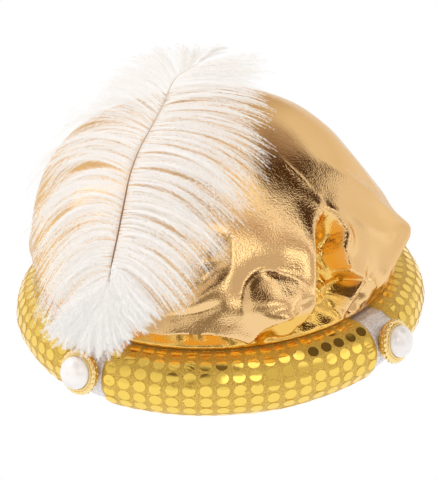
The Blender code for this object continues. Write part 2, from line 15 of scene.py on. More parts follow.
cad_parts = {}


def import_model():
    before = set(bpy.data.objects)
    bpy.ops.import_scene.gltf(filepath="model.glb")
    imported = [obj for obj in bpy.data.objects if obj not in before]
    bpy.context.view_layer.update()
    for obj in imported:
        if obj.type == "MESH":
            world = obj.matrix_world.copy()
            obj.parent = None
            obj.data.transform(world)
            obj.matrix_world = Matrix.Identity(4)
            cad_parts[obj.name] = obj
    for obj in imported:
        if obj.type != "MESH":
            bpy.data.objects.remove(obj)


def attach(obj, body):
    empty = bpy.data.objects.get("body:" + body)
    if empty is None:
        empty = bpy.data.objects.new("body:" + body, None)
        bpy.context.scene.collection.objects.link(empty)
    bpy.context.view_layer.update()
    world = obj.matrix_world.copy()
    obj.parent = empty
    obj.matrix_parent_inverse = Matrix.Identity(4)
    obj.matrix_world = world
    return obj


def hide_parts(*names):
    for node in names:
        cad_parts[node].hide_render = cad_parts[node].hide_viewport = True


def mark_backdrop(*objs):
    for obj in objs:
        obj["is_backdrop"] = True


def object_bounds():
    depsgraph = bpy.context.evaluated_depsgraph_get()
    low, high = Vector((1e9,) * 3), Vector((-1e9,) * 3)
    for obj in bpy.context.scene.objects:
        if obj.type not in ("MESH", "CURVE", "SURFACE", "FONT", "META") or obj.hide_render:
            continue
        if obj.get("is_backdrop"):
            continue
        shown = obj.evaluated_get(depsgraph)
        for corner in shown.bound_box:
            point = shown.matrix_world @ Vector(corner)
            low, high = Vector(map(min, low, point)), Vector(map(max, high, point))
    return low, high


MM = 0.001

# Sizes shared with the frame's pieces
RING_HALF_WIDTH = 0.1100
RING_HALF_DEPTH = 0.1188
RING_BACK = 0.00738
ROLL_RADIUS = 0.0198
ROLL_HEIGHT = 0.0186
BAND_ANGLES = {"front": 0.0, "left": 90.0, "back": 180.0, "right": -90.0}
BAND_WIDTH = 0.0210
BAND_WALL = 0.0009
WAIST_RADIUS = 0.0158
SHOULDER_LENGTH = 0.0055
BROOCH_SIDES = ("front", "left", "right")
BROOCH_TURN = 15.0
BEZEL_RADIUS = 0.0135
BEZEL_FRONT = 0.0251
PEARL_RADIUS = 0.0099
PEARL_SHOULDER = 0.0260
PEARL_DOME = 0.0072
CROWN_TOP = 0.1560
CROWN_WALL = 0.0007
CROWN_LEAN = 0.0060
CROWN_LEAN_ANGLE = -53.0
CLOTH_GAP = 0.0005
PLUME_CLEARANCE = 0.0100

# Camera
CAMERA_EYE = (0.52439, -0.68850, 0.46996)
CAMERA_AIM = (-0.01502, 0.02478, 0.04526)
CAMERA_UP = (-0.24981, 0.34889, 0.90326)
CAMERA_LENS_MM = 111.58

# Crown's section: radius as a share of the ring's centreline, height as a share of the way
# from the top of the roll to the top of the crown.
Section = namedtuple("Section", "radius height")
CROWN_PROFILE = (
    Section(0.996, 0.015),
    Section(1.016, 0.060),
    Section(1.032, 0.120),
    Section(1.042, 0.190),
    Section(1.032, 0.270),
    Section(0.996, 0.370),
    Section(0.934, 0.485),
    Section(0.846, 0.600),
    Section(0.727, 0.715),
    Section(0.583, 0.820),
    Section(0.408, 0.910),
    Section(0.212, 0.970),
    Section(0.000, 1.000),
)
TUCK_TURNS = (191.25, 168.75, 146.25, 123.75)

# Broad swells of the crown: lift in millimetres, spreads in the same measures as the places.
Swell = namedtuple("Swell", "name lift angle angle_spread rise rise_spread")
SWELLS = (
    Swell("full_right_shoulder", 9.0, -72.0, 42.0, 0.700, 0.140),
    Swell("flat_left_flank", -5.5, 138.0, 44.0, 0.640, 0.130),
    Swell("front_hem_slope", 3.0, 28.0, 24.0, 0.392, 0.034),
    Swell("left_corner", 7.0, 124.0, 8.0, 0.455, 0.040),
    Swell("front_lobe", 8.0, 55.0, 9.5, 0.485, 0.062),
)

# Folds of the crown, as walks over its outside. Lift and curl at the fold's line and the widths
# that they die away over, on the walker's left and right, are in millimetres. A low crest is
# sharp and a high one is round. The curl pushes the cloth to the walker's right.
Fold = namedtuple("Fold", "name lift left right crest curl stops")
FOLDS = (
    Fold("pocket_front_lip", 5.8, 12.0, 3.4, 1.9, 1.6,
         ((52, 0.30), (56, 0.353), (60, 0.40), (64, 0.45), (65.5, 0.50), (68.5, 0.583), (73, 0.647),
          (81, 0.685))),
    Fold("pocket_rear_lip", 3.4, 3.4, 6.0, 1.9, 0.0,
         ((79, 0.293), (80, 0.403), (86, 0.47), (82, 0.52), (81, 0.557), (82, 0.583), (86, 0.597),
          (87, 0.62), (86, 0.657), (82, 0.685))),
    Fold("pocket_floor_fold", 5.0, 4.0, 2.6, 1.5, 0.0, ((68, 0.31), (71, 0.40), (75, 0.47), (76, 0.54))),
    Fold("pocket_floor_crease", -2.4, 2.2, 2.2, 1.4, 0.0, ((76, 0.64), (80, 0.60), (84, 0.585))),
    Fold("rear_tuck", -10.0, 1.8, 6.0, 1.8, 0.0, ((80, 0.28), (83, 0.36), (88, 0.46))),
    Fold("rear_pleat", 2.2, 2.0, 4.0, 1.3, 0.0, ((86, 0.31), (89, 0.39), (89, 0.465))),
    Fold("rear_pleat_line", 1.4, 1.5, 3.0, 1.3, 0.0, ((93, 0.36), (91, 0.42), (90, 0.465))),
    Fold("apex_fan", 1.6, 6.0, 3.0, 1.5, 0.0, ((83, 0.69), (93, 0.64), (105, 0.545), (118, 0.49))),
    Fold("lobe_crease", -2.8, 7.0, 2.8, 1.6, 0.0,
         ((46, 0.413), (46, 0.49), (47, 0.543), (49, 0.573), (53, 0.59), (57, 0.583), (62, 0.56),
          (66, 0.517))),
    Fold("lobe_streak", -1.6, 2.5, 2.5, 1.4, 0.0, ((50, 0.475), (55, 0.490), (61, 0.482), (66, 0.497))),
    Fold("lobe_lip", 4.6, 7.0, 1.6, 1.1, 1.8,
         ((43, 0.335), (46, 0.363), (51, 0.433), (58, 0.472), (61, 0.470))),
    Fold("front_hem_lip", 4.2, 7.0, 2.2, 1.2, 2.0,
         ((-40, 0.36), (-18, 0.39), (5, 0.405), (22, 0.415), (34, 0.420), (41, 0.405), (47, 0.360),
          (51, 0.31))),
    Fold("front_hem_hollow", -8.0, 5.0, 8.0, 2.6, 0.0,
         ((-40, 0.315), (-18, 0.335), (5, 0.345), (22, 0.350), (34, 0.350), (41, 0.342), (48, 0.318))),
    Fold("under_lobe_fold", 3.4, 2.6, 3.4, 1.3, 0.0, ((52, 0.315), (56, 0.352), (60, 0.400))),
    Fold("front_hollow", -5.5, 12.0, 8.0, 2.0, 0.0,
         ((-6, 0.50), (12, 0.52), (24, 0.55), (32, 0.60), (40, 0.63), (46, 0.63))),
    Fold("front_valley", -2.6, 4.0, 3.0, 1.5, 0.0,
         ((45, 0.615), (38, 0.585), (29, 0.530), (17, 0.480), (4, 0.455))),
    Fold("front_low_crease", -1.8, 3.5, 3.0, 1.5, 0.0, ((42, 0.520), (34, 0.485), (20, 0.455), (4, 0.430))),
    Fold("patch_streak", 0.7, 1.1, 2.2, 1.3, 0.0, ((77, 0.805), (80, 0.765), (83, 0.725))),
    Fold("front_bulge", 2.4, 8.0, 8.0, 2.0, 0.0, ((-4, 0.60), (16, 0.63), (30, 0.68), (44, 0.72))),
    Fold("rear_hem_fold", 3.5, 7.0, 4.0, 1.6, 0.0, ((92, 0.345), (100, 0.42), (112, 0.44), (124, 0.45))),
    Fold("corner_ridge", 3.0, 9.0, 7.0, 1.8, 0.0, ((124, 0.45), (118, 0.56), (108, 0.68), (97, 0.78))),
    Fold("back_fold", 4.0, 11.0, 6.0, 1.5, 0.0, ((160, 0.36), (166, 0.52), (170, 0.68), (172, 0.80))),
    Fold("back_hollow", -3.5, 9.0, 9.0, 1.8, 0.0, ((184, 0.34), (188, 0.50), (192, 0.66))),
    Fold("right_fold", 4.0, 7.0, 11.0, 1.5, 0.0, ((228, 0.36), (222, 0.52), (218, 0.66), (215, 0.78))),
    Fold("right_hollow", -3.5, 9.0, 9.0, 1.8, 0.0, ((252, 0.34), (250, 0.48), (247, 0.62))),
    Fold("right_hem_fold", 3.5, 8.0, 4.0, 1.5, 0.0, ((285, 0.33), (296, 0.41), (309, 0.42), (322, 0.34))),
    Fold("back_hem_fold", 3.0, 8.0, 4.0, 1.5, 0.0, ((196, 0.36), (210, 0.41), (224, 0.42), (240, 0.35))),
)

# The deep pocket over the left temple, between its two lips: rise, angle of the front lip and
# of the rear lip, and depth in millimetres.
PocketRow = namedtuple("PocketRow", "rise front rear depth")
POCKET = (
    PocketRow(0.275, 50.0, 79.0, 0.0),
    PocketRow(0.315, 51.0, 79.0, 9.0),
    PocketRow(0.353, 54.0, 79.5, 12.0),
    PocketRow(0.403, 59.5, 81.0, 14.0),
    PocketRow(0.470, 65.5, 86.0, 14.0),
    PocketRow(0.520, 67.0, 82.0, 14.0),
    PocketRow(0.583, 69.5, 82.5, 13.0),
    PocketRow(0.620, 72.0, 87.0, 11.0),
    PocketRow(0.657, 76.0, 86.0, 7.0),
    PocketRow(0.680, 82.0, 83.0, 0.0),
)
POCKET_WALL = 4.5

# Upper edge of the cloth that is tucked under the front lips: angle and rise.
UNDER_LIP = (
    (-40, 0.345),
    (-18, 0.372),
    (5, 0.388),
    (22, 0.400),
    (34, 0.404),
    (41, 0.390),
    (45, 0.362),
    (48, 0.385),
    (52, 0.432),
    (58, 0.462),
    (66, 0.460),
    (72, 0.440),
)

# Small gathers, slack and creases of the cloth: lift in millimetres, gathers round the ring and
# the size of the slack's and the creases' waves. The deep folds begin over a soft edge.
HEM_GATHER = 0.55
HEM_GATHERS = 46
HEM_GATHER_RISE = 0.33
HEM_GATHER_SPREAD = 0.07
SLACK = 0.55
SLACK_SIZE = 0.022
DEEP_CREASE = 1.1
DEEP_CREASE_SIZE = 0.011
DEEP_EDGE_ANGLE = 1.6
DEEP_EDGE_RISE = 0.012

# Crown's mesh, whose columns and rows crowd at the deep folds
CROWN_COLUMNS = 372
CROWN_ROWS = 104
COLUMN_CROWDING = 0.78
ROW_CROWDING = 0.50
FOLDED_ANGLE = 73.0
FOLDED_RISE = 0.48

# Roll
ROLL_COLUMNS = 336
ROLL_SIDES = 56
COLUMN_DRAW = 6.0
PUCKERS = 26
PUCKER_LIFT = 0.00055
PUCKER_REACH = 0.022
WADDING_LIFT = 0.00035
WADDING_SIZE = 0.035

# Foil dots
DOT_RADIUS = 0.00325
DOT_ROWS = 17
DOT_ROW_START = 14.5
DOT_COLUMNS = 18
DOT_ROW_LEAN = 6.0
DOT_ROW_LEAN_TURN = 88.0
DOT_ROW_LEAN_SPREAD = 22.0
DOT_FIRST_ANGLE = 8.6
DOT_LIFT = 0.00012
DOT_SKIRT = 0.00030
DOT_BACK = 0.00040
DOT_SIDES = 18
DOT_HIDDEN_TURNS = (128.0, 196.0)
DOT_TILT = 0.022
DOT_STRAY = 0.00012
DOT_MIN_HEIGHT = 0.0002

# Brooches
ROPE_TURNS = 26
ROPE_THICKNESS = 0.00165
INNER_ROPE_TURNS = 60
INNER_ROPE_THICKNESS = 0.00062
BEAD_COUNT = 44
BEAD_RADIUS = 0.00075

# Plume: the quill's stops as angle, rise and clearance from the crown in plume clearances.
QUILL_RADIUS = 0.00068
QUILL_TIP_RADIUS = 0.0003
QUILL_BAND_TURNS = (50.0, 60.0, 70.0)
Stop = namedtuple("Stop", "angle rise clearance")
QUILL_STOPS = (
    Stop(5.0, 0.353, 1.10),
    Stop(8.0, 0.455, 0.90),
    Stop(9.0, 0.534, 0.90),
    Stop(9.0, 0.601, 0.90),
    Stop(9.0, 0.654, 0.95),
    Stop(8.0, 0.711, 1.05),
    Stop(6.0, 0.765, 1.20),
    Stop(5.0, 0.810, 1.40),
    Stop(5.0, 0.848, 1.60),
    Stop(2.0, 0.892, 1.75),
    Stop(-20.0, 0.945, 1.85),
    Stop(-60.0, 0.982, 1.95),
)

# Where barbs hang over the crown, from the plume's foot to its tip on each side: the share of
# the quill that they leave it at, and the place of their tips.
Tip = namedtuple("Tip", "root angle rise clearance")
RIGHT_TIPS = (
    Tip(0.350, -3.0, 0.360, 2.20),
    Tip(0.410, -7.0, 0.388, 2.40),
    Tip(0.460, -8.0, 0.445, 2.30),
    Tip(0.505, -10.0, 0.493, 2.20),
    Tip(0.545, -16.0, 0.540, 1.80),
    Tip(0.585, -22.0, 0.575, 1.50),
    Tip(0.640, -31.0, 0.626, 1.20),
    Tip(0.700, -49.0, 0.654, 1.10),
    Tip(0.760, -60.0, 0.692, 1.20),
    Tip(0.800, -70.0, 0.746, 1.40),
    Tip(0.835, -78.0, 0.800, 1.70),
    Tip(0.885, -82.0, 0.841, 2.40),
    Tip(0.915, -93.0, 0.878, 2.70),
    Tip(0.940, -111.0, 0.900, 2.65),
    Tip(0.970, -134.0, 0.896, 2.50),
    Tip(1.000, -156.0, 0.894, 2.30),
)
LEFT_TIPS = (
    Tip(0.350, 20.0, 0.461, 2.20),
    Tip(0.410, 27.0, 0.496, 1.80),
    Tip(0.485, 34.0, 0.550, 1.30),
    Tip(0.545, 39.0, 0.610, 1.00),
    Tip(0.610, 43.0, 0.651, 0.90),
    Tip(0.660, 49.0, 0.696, 0.80),
    Tip(0.720, 54.0, 0.734, 0.80),
    Tip(0.760, 61.0, 0.765, 0.90),
    Tip(0.790, 64.0, 0.800, 1.10),
    Tip(0.820, 71.0, 0.841, 1.40),
    Tip(0.860, 79.0, 0.863, 1.70),
    Tip(0.890, 84.0, 0.889, 1.90),
    Tip(0.930, 94.0, 0.920, 2.00),
    Tip(0.960, 112.0, 0.925, 2.20),
    Tip(0.980, 140.0, 0.920, 2.25),
    Tip(1.000, 176.0, 0.905, 2.25),
)

# Tips of the down at the plume's foot, with the share of the quill that it leaves lowest at.
DOWN_TIPS = (
    Tip(0.30, -8.0, 0.407, 2.30),
    Tip(0.29, -7.0, 0.363, 2.30),
    Tip(0.28, -5.0, 0.335, 2.20),
    Tip(0.27, -2.0, 0.322, 2.10),
    Tip(0.27, 3.0, 0.328, 2.10),
    Tip(0.27, 8.0, 0.350, 2.20),
    Tip(0.28, 12.0, 0.385, 2.20),
    Tip(0.29, 15.0, 0.410, 2.20),
    Tip(0.30, 18.0, 0.432, 2.20),
    Tip(0.32, 20.0, 0.458, 2.10),
    Tip(0.34, 23.0, 0.483, 2.00),
    Tip(0.36, 26.0, 0.502, 1.80),
)

# How far barbs bow towards the quill's tip on each side, as shares of their length.
RIGHT_ARCH = ((0.35, 0.45, 0.60, 0.72, 0.85, 1.0), (0.34, 0.46, 0.44, 0.20, 0.05, 0.0))
LEFT_ARCH = ((0.35, 0.45, 0.60, 0.75, 0.90, 1.0), (0.34, 0.30, 0.24, 0.18, 0.08, 0.0))
LOCKS = 150
LOCK_PULL = 0.25
DOWN_LOCK_PULL = 0.45
BARBS_PER_SIDE = 520
DOWN_BARBS = 250
BARB_RADIUS = 0.00016
BARB_STEPS = 12

# Barbules: how many stand on each side of a barb, their reach and width, and how far they stray.
Barbules = namedtuple("Barbules", "count reach width stray")
SIDE_BARBULES = Barbules(38, 0.0044, 0.00012, 0.15)
DOWN_BARBULES = Barbules(64, 0.0075, 0.00012, 0.34)
BARBULE_SPREAD = 0.62
BARBULE_DROOP = 0.10


def ring_direction(angle):
    """Unit vectors from the ring's middle to its centreline, and the length there."""
    angle = np.asarray(angle, float)
    sideways = RING_HALF_WIDTH * np.sin(np.radians(angle))
    forwards = -RING_HALF_DEPTH * np.cos(np.radians(angle))
    length = np.hypot(sideways, forwards)
    return np.stack([sideways / length, forwards / length, 0 * length], -1), length


def ring_frame(angle):
    """Centreline point, outward normal in plan and forward tangent of the ring."""
    direction, length = ring_direction(angle)
    centre = direction * length[..., None] + np.array([0.0, RING_BACK, ROLL_HEIGHT])
    turn = np.radians(np.asarray(angle, float))
    outward = np.stack([RING_HALF_DEPTH * np.sin(turn), -RING_HALF_WIDTH * np.cos(turn), 0 * turn], -1)
    outward /= np.linalg.norm(outward, axis=-1, keepdims=True)
    along = np.cross([0.0, 0.0, 1.0], outward)
    return centre, outward, along


def tube_point(angle, turn, radius):
    """Point round the roll: an angle round the ring, a turn round the section, a radius."""
    centre, outward, _ = ring_frame(angle)
    turn = np.radians(np.asarray(turn, float))[..., None]
    radius = np.asarray(radius, float)[..., None]
    return centre + radius * (np.cos(turn) * outward + np.sin(turn) * np.array([0.0, 0.0, 1.0]))


def ring_speed(angle):
    """Metres along the centreline for each degree of ring angle."""
    turn = np.radians(angle)
    return np.radians(np.hypot(RING_HALF_WIDTH * np.cos(turn), RING_HALF_DEPTH * np.sin(turn)))


def band_distance(angle):
    """Distance along the ring from the middle of the nearest band."""
    angle = np.asarray(angle, float)
    nearest = np.round(angle / 90.0) * 90.0
    return np.abs(angle - nearest) * ring_speed(nearest)


def sleeve_radius(angle):
    """Radius of the roll, which narrows to its waists under the bands."""
    share = np.clip((band_distance(angle) - BAND_WIDTH / 2) / SHOULDER_LENGTH, 0.0, 1.0)
    return WAIST_RADIUS + (ROLL_RADIUS - WAIST_RADIUS) * np.sqrt(1 - (1 - share) ** 2)


def spline(points, place):
    """Smooth curve through points, at places counted in points from the first."""
    points = np.asarray(points, float)
    place = np.asarray(place, float)
    padded = np.vstack([2 * points[0] - points[1], points, 2 * points[-1] - points[-2]])
    index = np.clip(np.floor(place).astype(int), 0, len(points) - 2)
    u = (place - index)[..., None]
    a, b, c, d = (padded[index + k] for k in range(4))
    return 0.5 * (2 * b + (c - a) * u + (2 * a - 5 * b + 4 * c - d) * u**2 + (3 * b - a - 3 * c + d) * u**3)


def crown_sections():
    """The crown's section over the ring's side, from hem to top."""
    sections = []
    for turn in TUCK_TURNS:
        reach = ROLL_RADIUS + CLOTH_GAP
        radius = RING_HALF_WIDTH + reach * math.cos(math.radians(turn))
        sections.append((radius / RING_HALF_WIDTH, ROLL_HEIGHT + reach * math.sin(math.radians(turn))))
    roll_top = ROLL_HEIGHT + ROLL_RADIUS
    for section in CROWN_PROFILE:
        sections.append((section.radius, roll_top + section.height * (CROWN_TOP - roll_top)))
    return sections


def crown_base(angle, rise):
    """The crown's smooth form, before its swells and folds."""
    sections = crown_sections()
    rise = np.clip(np.asarray(rise, float), 0.0, 1.0)
    across = spline(sections, rise * (len(sections) - 1))
    direction, length = ring_direction(angle)
    height = across[..., 1]
    tucked = np.clip(1 - (height - ROLL_HEIGHT) / (2 * ROLL_RADIUS), 0.0, 1.0)
    radius = across[..., 0] * length
    beside = length - (1 - across[..., 0]) * RING_HALF_WIDTH
    radius = radius + (beside - radius) * tucked
    point = direction * radius[..., None] + np.array([0.0, RING_BACK, 0.0])
    point[..., 2] = height
    roll_top = ROLL_HEIGHT + ROLL_RADIUS
    up = np.clip((height - roll_top) / (CROWN_TOP - roll_top), 0.0, 1.0)
    lean = math.radians(CROWN_LEAN_ANGLE)
    shift = CROWN_LEAN * up * (2 - up)
    point[..., 0] += shift * math.sin(lean)
    point[..., 1] -= shift * math.cos(lean)
    return point


def crown_normal(angle, rise):
    """Outward unit normals of the crown's smooth form."""
    step = 0.01
    angle = np.asarray(angle)
    rise = np.clip(rise, 0.0, 1.0 - 0.2 * step)
    around = crown_base(angle + step * 90, rise) - crown_base(angle - step * 90, rise)
    upward = crown_base(angle, rise + step) - crown_base(angle, rise - step)
    normal = np.cross(around, upward)
    return normal / np.linalg.norm(normal, axis=-1, keepdims=True)


def angle_between(angle, middle):
    """Angles from a middle one, from -180 to 180."""
    return (np.asarray(angle) - middle + 180.0) % 360.0 - 180.0


def swell_lift(swell, angle, rise):
    """Lift of one swell, in millimetres, which fades as a bell curve."""
    turned = angle_between(angle, swell.angle)
    distance = (turned / swell.angle_spread) ** 2 + ((rise - swell.rise) / swell.rise_spread) ** 2
    return swell.lift * np.exp(-distance)


def fold_move(fold, points, normals):
    """Move of points of the smooth crown by one fold, from their distance to its line."""
    samples = np.linspace(0, len(fold.stops) - 1, 5 * len(fold.stops))
    stops = spline(fold.stops, samples)
    line = crown_base(stops[:, 0], stops[:, 1])
    reach = 3.2 * max(fold.left, fold.right) * MM
    inside = ((points > line.min(0) - reach) & (points < line.max(0) + reach)).all(-1)
    move = np.zeros_like(points)
    near, near_normals = points[inside], normals[inside]
    start, run = line[:-1], np.diff(line, axis=0)
    to_point = near[:, None, :] - start
    along = np.clip((to_point * run).sum(-1) / (run * run).sum(-1), 0.0, 1.0)
    offset = to_point - along[..., None] * run
    distance = np.linalg.norm(offset, axis=-1)
    pick = distance.argmin(-1)
    every = np.arange(len(near))
    reached = (pick + along[every, pick]) / len(run)
    distance = distance[every, pick] / MM
    side = np.cross(run[pick], offset[every, pick])
    on_left = (side * near_normals).sum(-1) > 0
    width = np.where(on_left, fold.left, fold.right)
    ends = np.clip(4 * np.minimum(reached, 1 - reached), 0.15, 1.0)
    share = (ends * np.exp(-((distance / width) ** fold.crest)))[:, None]
    across = np.cross(run[pick], near_normals)
    across /= np.linalg.norm(across, axis=-1, keepdims=True)
    move[inside] = share * (fold.lift * near_normals + fold.curl * across) * MM
    return move


def pocket_lips(rise):
    """Ring angles of the pocket's front and rear lips."""
    rises = [row.rise for row in POCKET]
    front = np.interp(rise, rises, [row.front for row in POCKET])
    return front, np.interp(rise, rises, [row.rear for row in POCKET])


def pocket_depth(angle, rise):
    """Depth of the pocket, in millimetres, with steep walls at its two lips."""
    front, rear = pocket_lips(rise)
    rises, depths = [row.rise for row in POCKET], [row.depth for row in POCKET]
    depth = np.interp(rise, rises, depths, left=0.0, right=0.0)
    across = np.clip((angle - front) / (rear - front), 0.0, 1.0)
    return depth * (1 - np.abs(2 * across - 1) ** POCKET_WALL)


def deep_share(angle, rise):
    """How far inside the deep folds a place is, from 0 to 1. It also masks the lamé's painted shade."""
    turned = angle_between(angle, 0.0)
    front, rear = pocket_lips(rise)
    inside = np.clip((turned - front) / DEEP_EDGE_ANGLE, 0, 1)
    inside = inside * np.clip((rear - turned) / DEEP_EDGE_ANGLE, 0, 1)
    inside = inside * (rise > POCKET[0].rise) * (rise < POCKET[-1].rise)
    lip = np.interp(turned, *zip(*UNDER_LIP), left=0.0, right=0.0)
    return np.maximum(inside, np.clip((lip - rise) / DEEP_EDGE_RISE, 0, 1))


def waves(points, size, seed):
    """Smooth irregular waves of about a size, from -1 to 1, as a sum of turned ripples."""
    random = np.random.default_rng(seed)
    total = np.zeros(points.shape[:-1])
    for _ in range(9):
        way = random.normal(size=3)
        way /= np.linalg.norm(way) * size * random.uniform(0.7, 1.5) / math.tau
        total += np.sin(points @ way + random.uniform(0, math.tau))
    return total / 4.5


def crown_point(angle, rise):
    """The crown's outer surface, with its swells, folds, pocket and slack."""
    points = crown_base(angle, rise)
    normals = crown_normal(angle, rise)
    lift = sum(swell_lift(swell, angle, rise) for swell in SWELLS)
    lift = lift - pocket_depth(angle, rise)
    gathers = np.sin(np.radians(angle) * HEM_GATHERS + 2.0 * waves(points, 0.05, 4))
    lift = lift + HEM_GATHER * gathers * np.exp(-(((rise - HEM_GATHER_RISE) / HEM_GATHER_SPREAD) ** 2))
    lift = lift + DEEP_CREASE * deep_share(angle, rise) * waves(points, DEEP_CREASE_SIZE, 12)
    lift = lift + SLACK * waves(points * [1.0, 1.0, 0.55], SLACK_SIZE, 7) * np.clip(1.6 - 1.6 * rise, 0, 1)
    move = lift[..., None] * normals * MM
    for fold in FOLDS:
        move = move + fold_move(fold, points, normals)
    free = np.clip((rise * (len(crown_sections()) - 1) - len(TUCK_TURNS)) / 1.2, 0.0, 1.0)
    return points + move * free[..., None]


def above_crown(angle, rise, clearance):
    """Point that hangs clear of the crown's smooth form, by plume clearances."""
    angle = np.asarray(angle, float)
    rise = np.asarray(rise, float)
    off = np.asarray(clearance, float)[..., None] * PLUME_CLEARANCE
    return crown_base(angle, rise) + off * crown_normal(angle, rise)


def mesh_piece(name, points, faces, material, smooth_angle=None):
    """A mesh object from points and faces: an array for one number of sides, or else a list."""
    mesh = bpy.data.meshes.new(name)
    if isinstance(faces, np.ndarray):
        mesh.vertices.add(len(points))
        mesh.vertices.foreach_set("co", np.asarray(points, np.float32).ravel())
        mesh.loops.add(faces.size)
        mesh.loops.foreach_set("vertex_index", faces.ravel().astype(np.int32))
        mesh.polygons.add(len(faces))
        starts = np.arange(0, faces.size, faces.shape[1], dtype=np.int32)
        mesh.polygons.foreach_set("loop_start", starts)
        mesh.update(calc_edges=True)
    else:
        mesh.from_pydata([tuple(p) for p in points], [], faces)
        mesh.update()
    if smooth_angle is not None:
        mesh.shade_smooth()
        mesh.set_sharp_from_angle(angle=math.radians(smooth_angle))
    mesh.materials.append(material)
    piece = bpy.data.objects.new(name, mesh)
    bpy.context.scene.collection.objects.link(piece)
    return piece


def grid_faces(columns, rows, close_columns, close_rows):
    """Quads of a grid whose points run along rows first, wound to face outwards."""
    i, j = np.meshgrid(
        np.arange(columns if close_columns else columns - 1),
        np.arange(rows if close_rows else rows - 1),
        indexing="ij",
    )
    i2, j2 = (i + 1) % columns, (j + 1) % rows
    return np.stack([i * rows + j, i2 * rows + j, i2 * rows + j2, i * rows + j2], -1).reshape(-1, 4)


def crowded(share, middle, swing):
    """Shares from 0 to 1 that crowd round a middle and keep their ends."""
    swing = swing / math.tau
    return share - swing * (np.sin(math.tau * (share - middle)) + math.sin(math.tau * middle))


def add_wall(piece, thickness):
    """Gives a sheet its thickness, inwards."""
    wall = piece.modifiers.new("wall", "SOLIDIFY")
    wall.thickness = thickness
    wall.offset = -1.0


def make_crown(material):
    """The crown's cloth, with columns and rows that crowd at its deep folds."""
    turns = np.linspace(-180.0, 180.0, CROWN_COLUMNS, endpoint=False)
    turns = turns - np.degrees(COLUMN_CROWDING * np.sin(np.radians(turns - FOLDED_ANGLE)))
    rows = crowded(np.linspace(0.0, 0.996, CROWN_ROWS), FOLDED_RISE, ROW_CROWDING)
    angle, rise = (grid.ravel() for grid in np.meshgrid(turns, rows, indexing="ij"))
    points = crown_point(angle, rise)
    faces = [tuple(face) for face in grid_faces(CROWN_COLUMNS, CROWN_ROWS, True, False).tolist()]
    peak = crown_base(np.array([0.0]), np.array([1.0]))
    last = CROWN_ROWS - 1
    for k in range(CROWN_COLUMNS):
        following = (k + 1) % CROWN_COLUMNS
        faces.append((k * CROWN_ROWS + last, following * CROWN_ROWS + last, len(points)))
    piece = mesh_piece("crown_cloth", np.vstack([points, peak]), faces, material, 75)
    # Painted shade: the share inside the deep folds is stored on the cloth. The lamé uses it to paint these
    # places a deeper orange in place of light bounced between the folds.
    deep = piece.data.attributes.new("deep", "FLOAT", "POINT")
    deep.data.foreach_set("value", np.append(deep_share(angle, rise), 0.0).astype(np.float32))
    add_wall(piece, CROWN_WALL)
    return piece


def roll_radius(angle, turn):
    """Radius of the padded roll, with puckers where the bands draw it in."""
    radius = sleeve_radius(angle)
    into = np.clip((band_distance(angle) - BAND_WIDTH / 2) / PUCKER_REACH, 0.0, 1.0)
    pucker = PUCKER_LIFT * np.sin(np.radians(turn) * PUCKERS + angle * 0.3) * (1 - into) ** 2
    wadding = WADDING_LIFT * waves(tube_point(angle, turn, 0.0 * turn + ROLL_RADIUS), WADDING_SIZE, 11)
    return radius + pucker * (into > 0) + wadding


def make_roll(material):
    """The padded roll, a tube round the ring."""
    turns = np.linspace(0.0, 360.0, ROLL_COLUMNS, endpoint=False)
    turns = turns - COLUMN_DRAW * np.sin(np.radians(turns * 4))
    section = np.linspace(0.0, 360.0, ROLL_SIDES, endpoint=False)
    angle, turn = (grid.ravel() for grid in np.meshgrid(turns, section, indexing="ij"))
    points = tube_point(angle, turn, roll_radius(angle, turn))
    points[:, 2] = np.maximum(points[:, 2], 0.0)
    faces = grid_faces(ROLL_COLUMNS, ROLL_SIDES, True, True)
    return mesh_piece("roll_cloth", points, faces, material, 60)


def dot_turn(row):
    """Turn of a row of dots round the roll's section, moved on a little near its top."""
    turn = (DOT_ROW_START + row * 360.0 / DOT_ROWS) % 360.0
    from_top = (turn - DOT_ROW_LEAN_TURN) / DOT_ROW_LEAN_SPREAD
    return turn + DOT_ROW_LEAN * math.exp(-(from_top**2))


def dot_faces():
    """Triangles of a dot: a middle, three rings and a middle behind."""
    faces = []
    for k in range(DOT_SIDES):
        n = (k + 1) % DOT_SIDES
        a, b, c, e = (1 + k, 1 + DOT_SIDES + k, 1 + 2 * DOT_SIDES + k, 1 + 3 * DOT_SIDES)
        a2, b2, c2 = 1 + n, 1 + DOT_SIDES + n, 1 + 2 * DOT_SIDES + n
        faces += [(0, a, a2), (a, b, b2), (a, b2, a2), (b, c, c2), (b, c2, b2), (c, e, c2)]
    return np.array(faces)


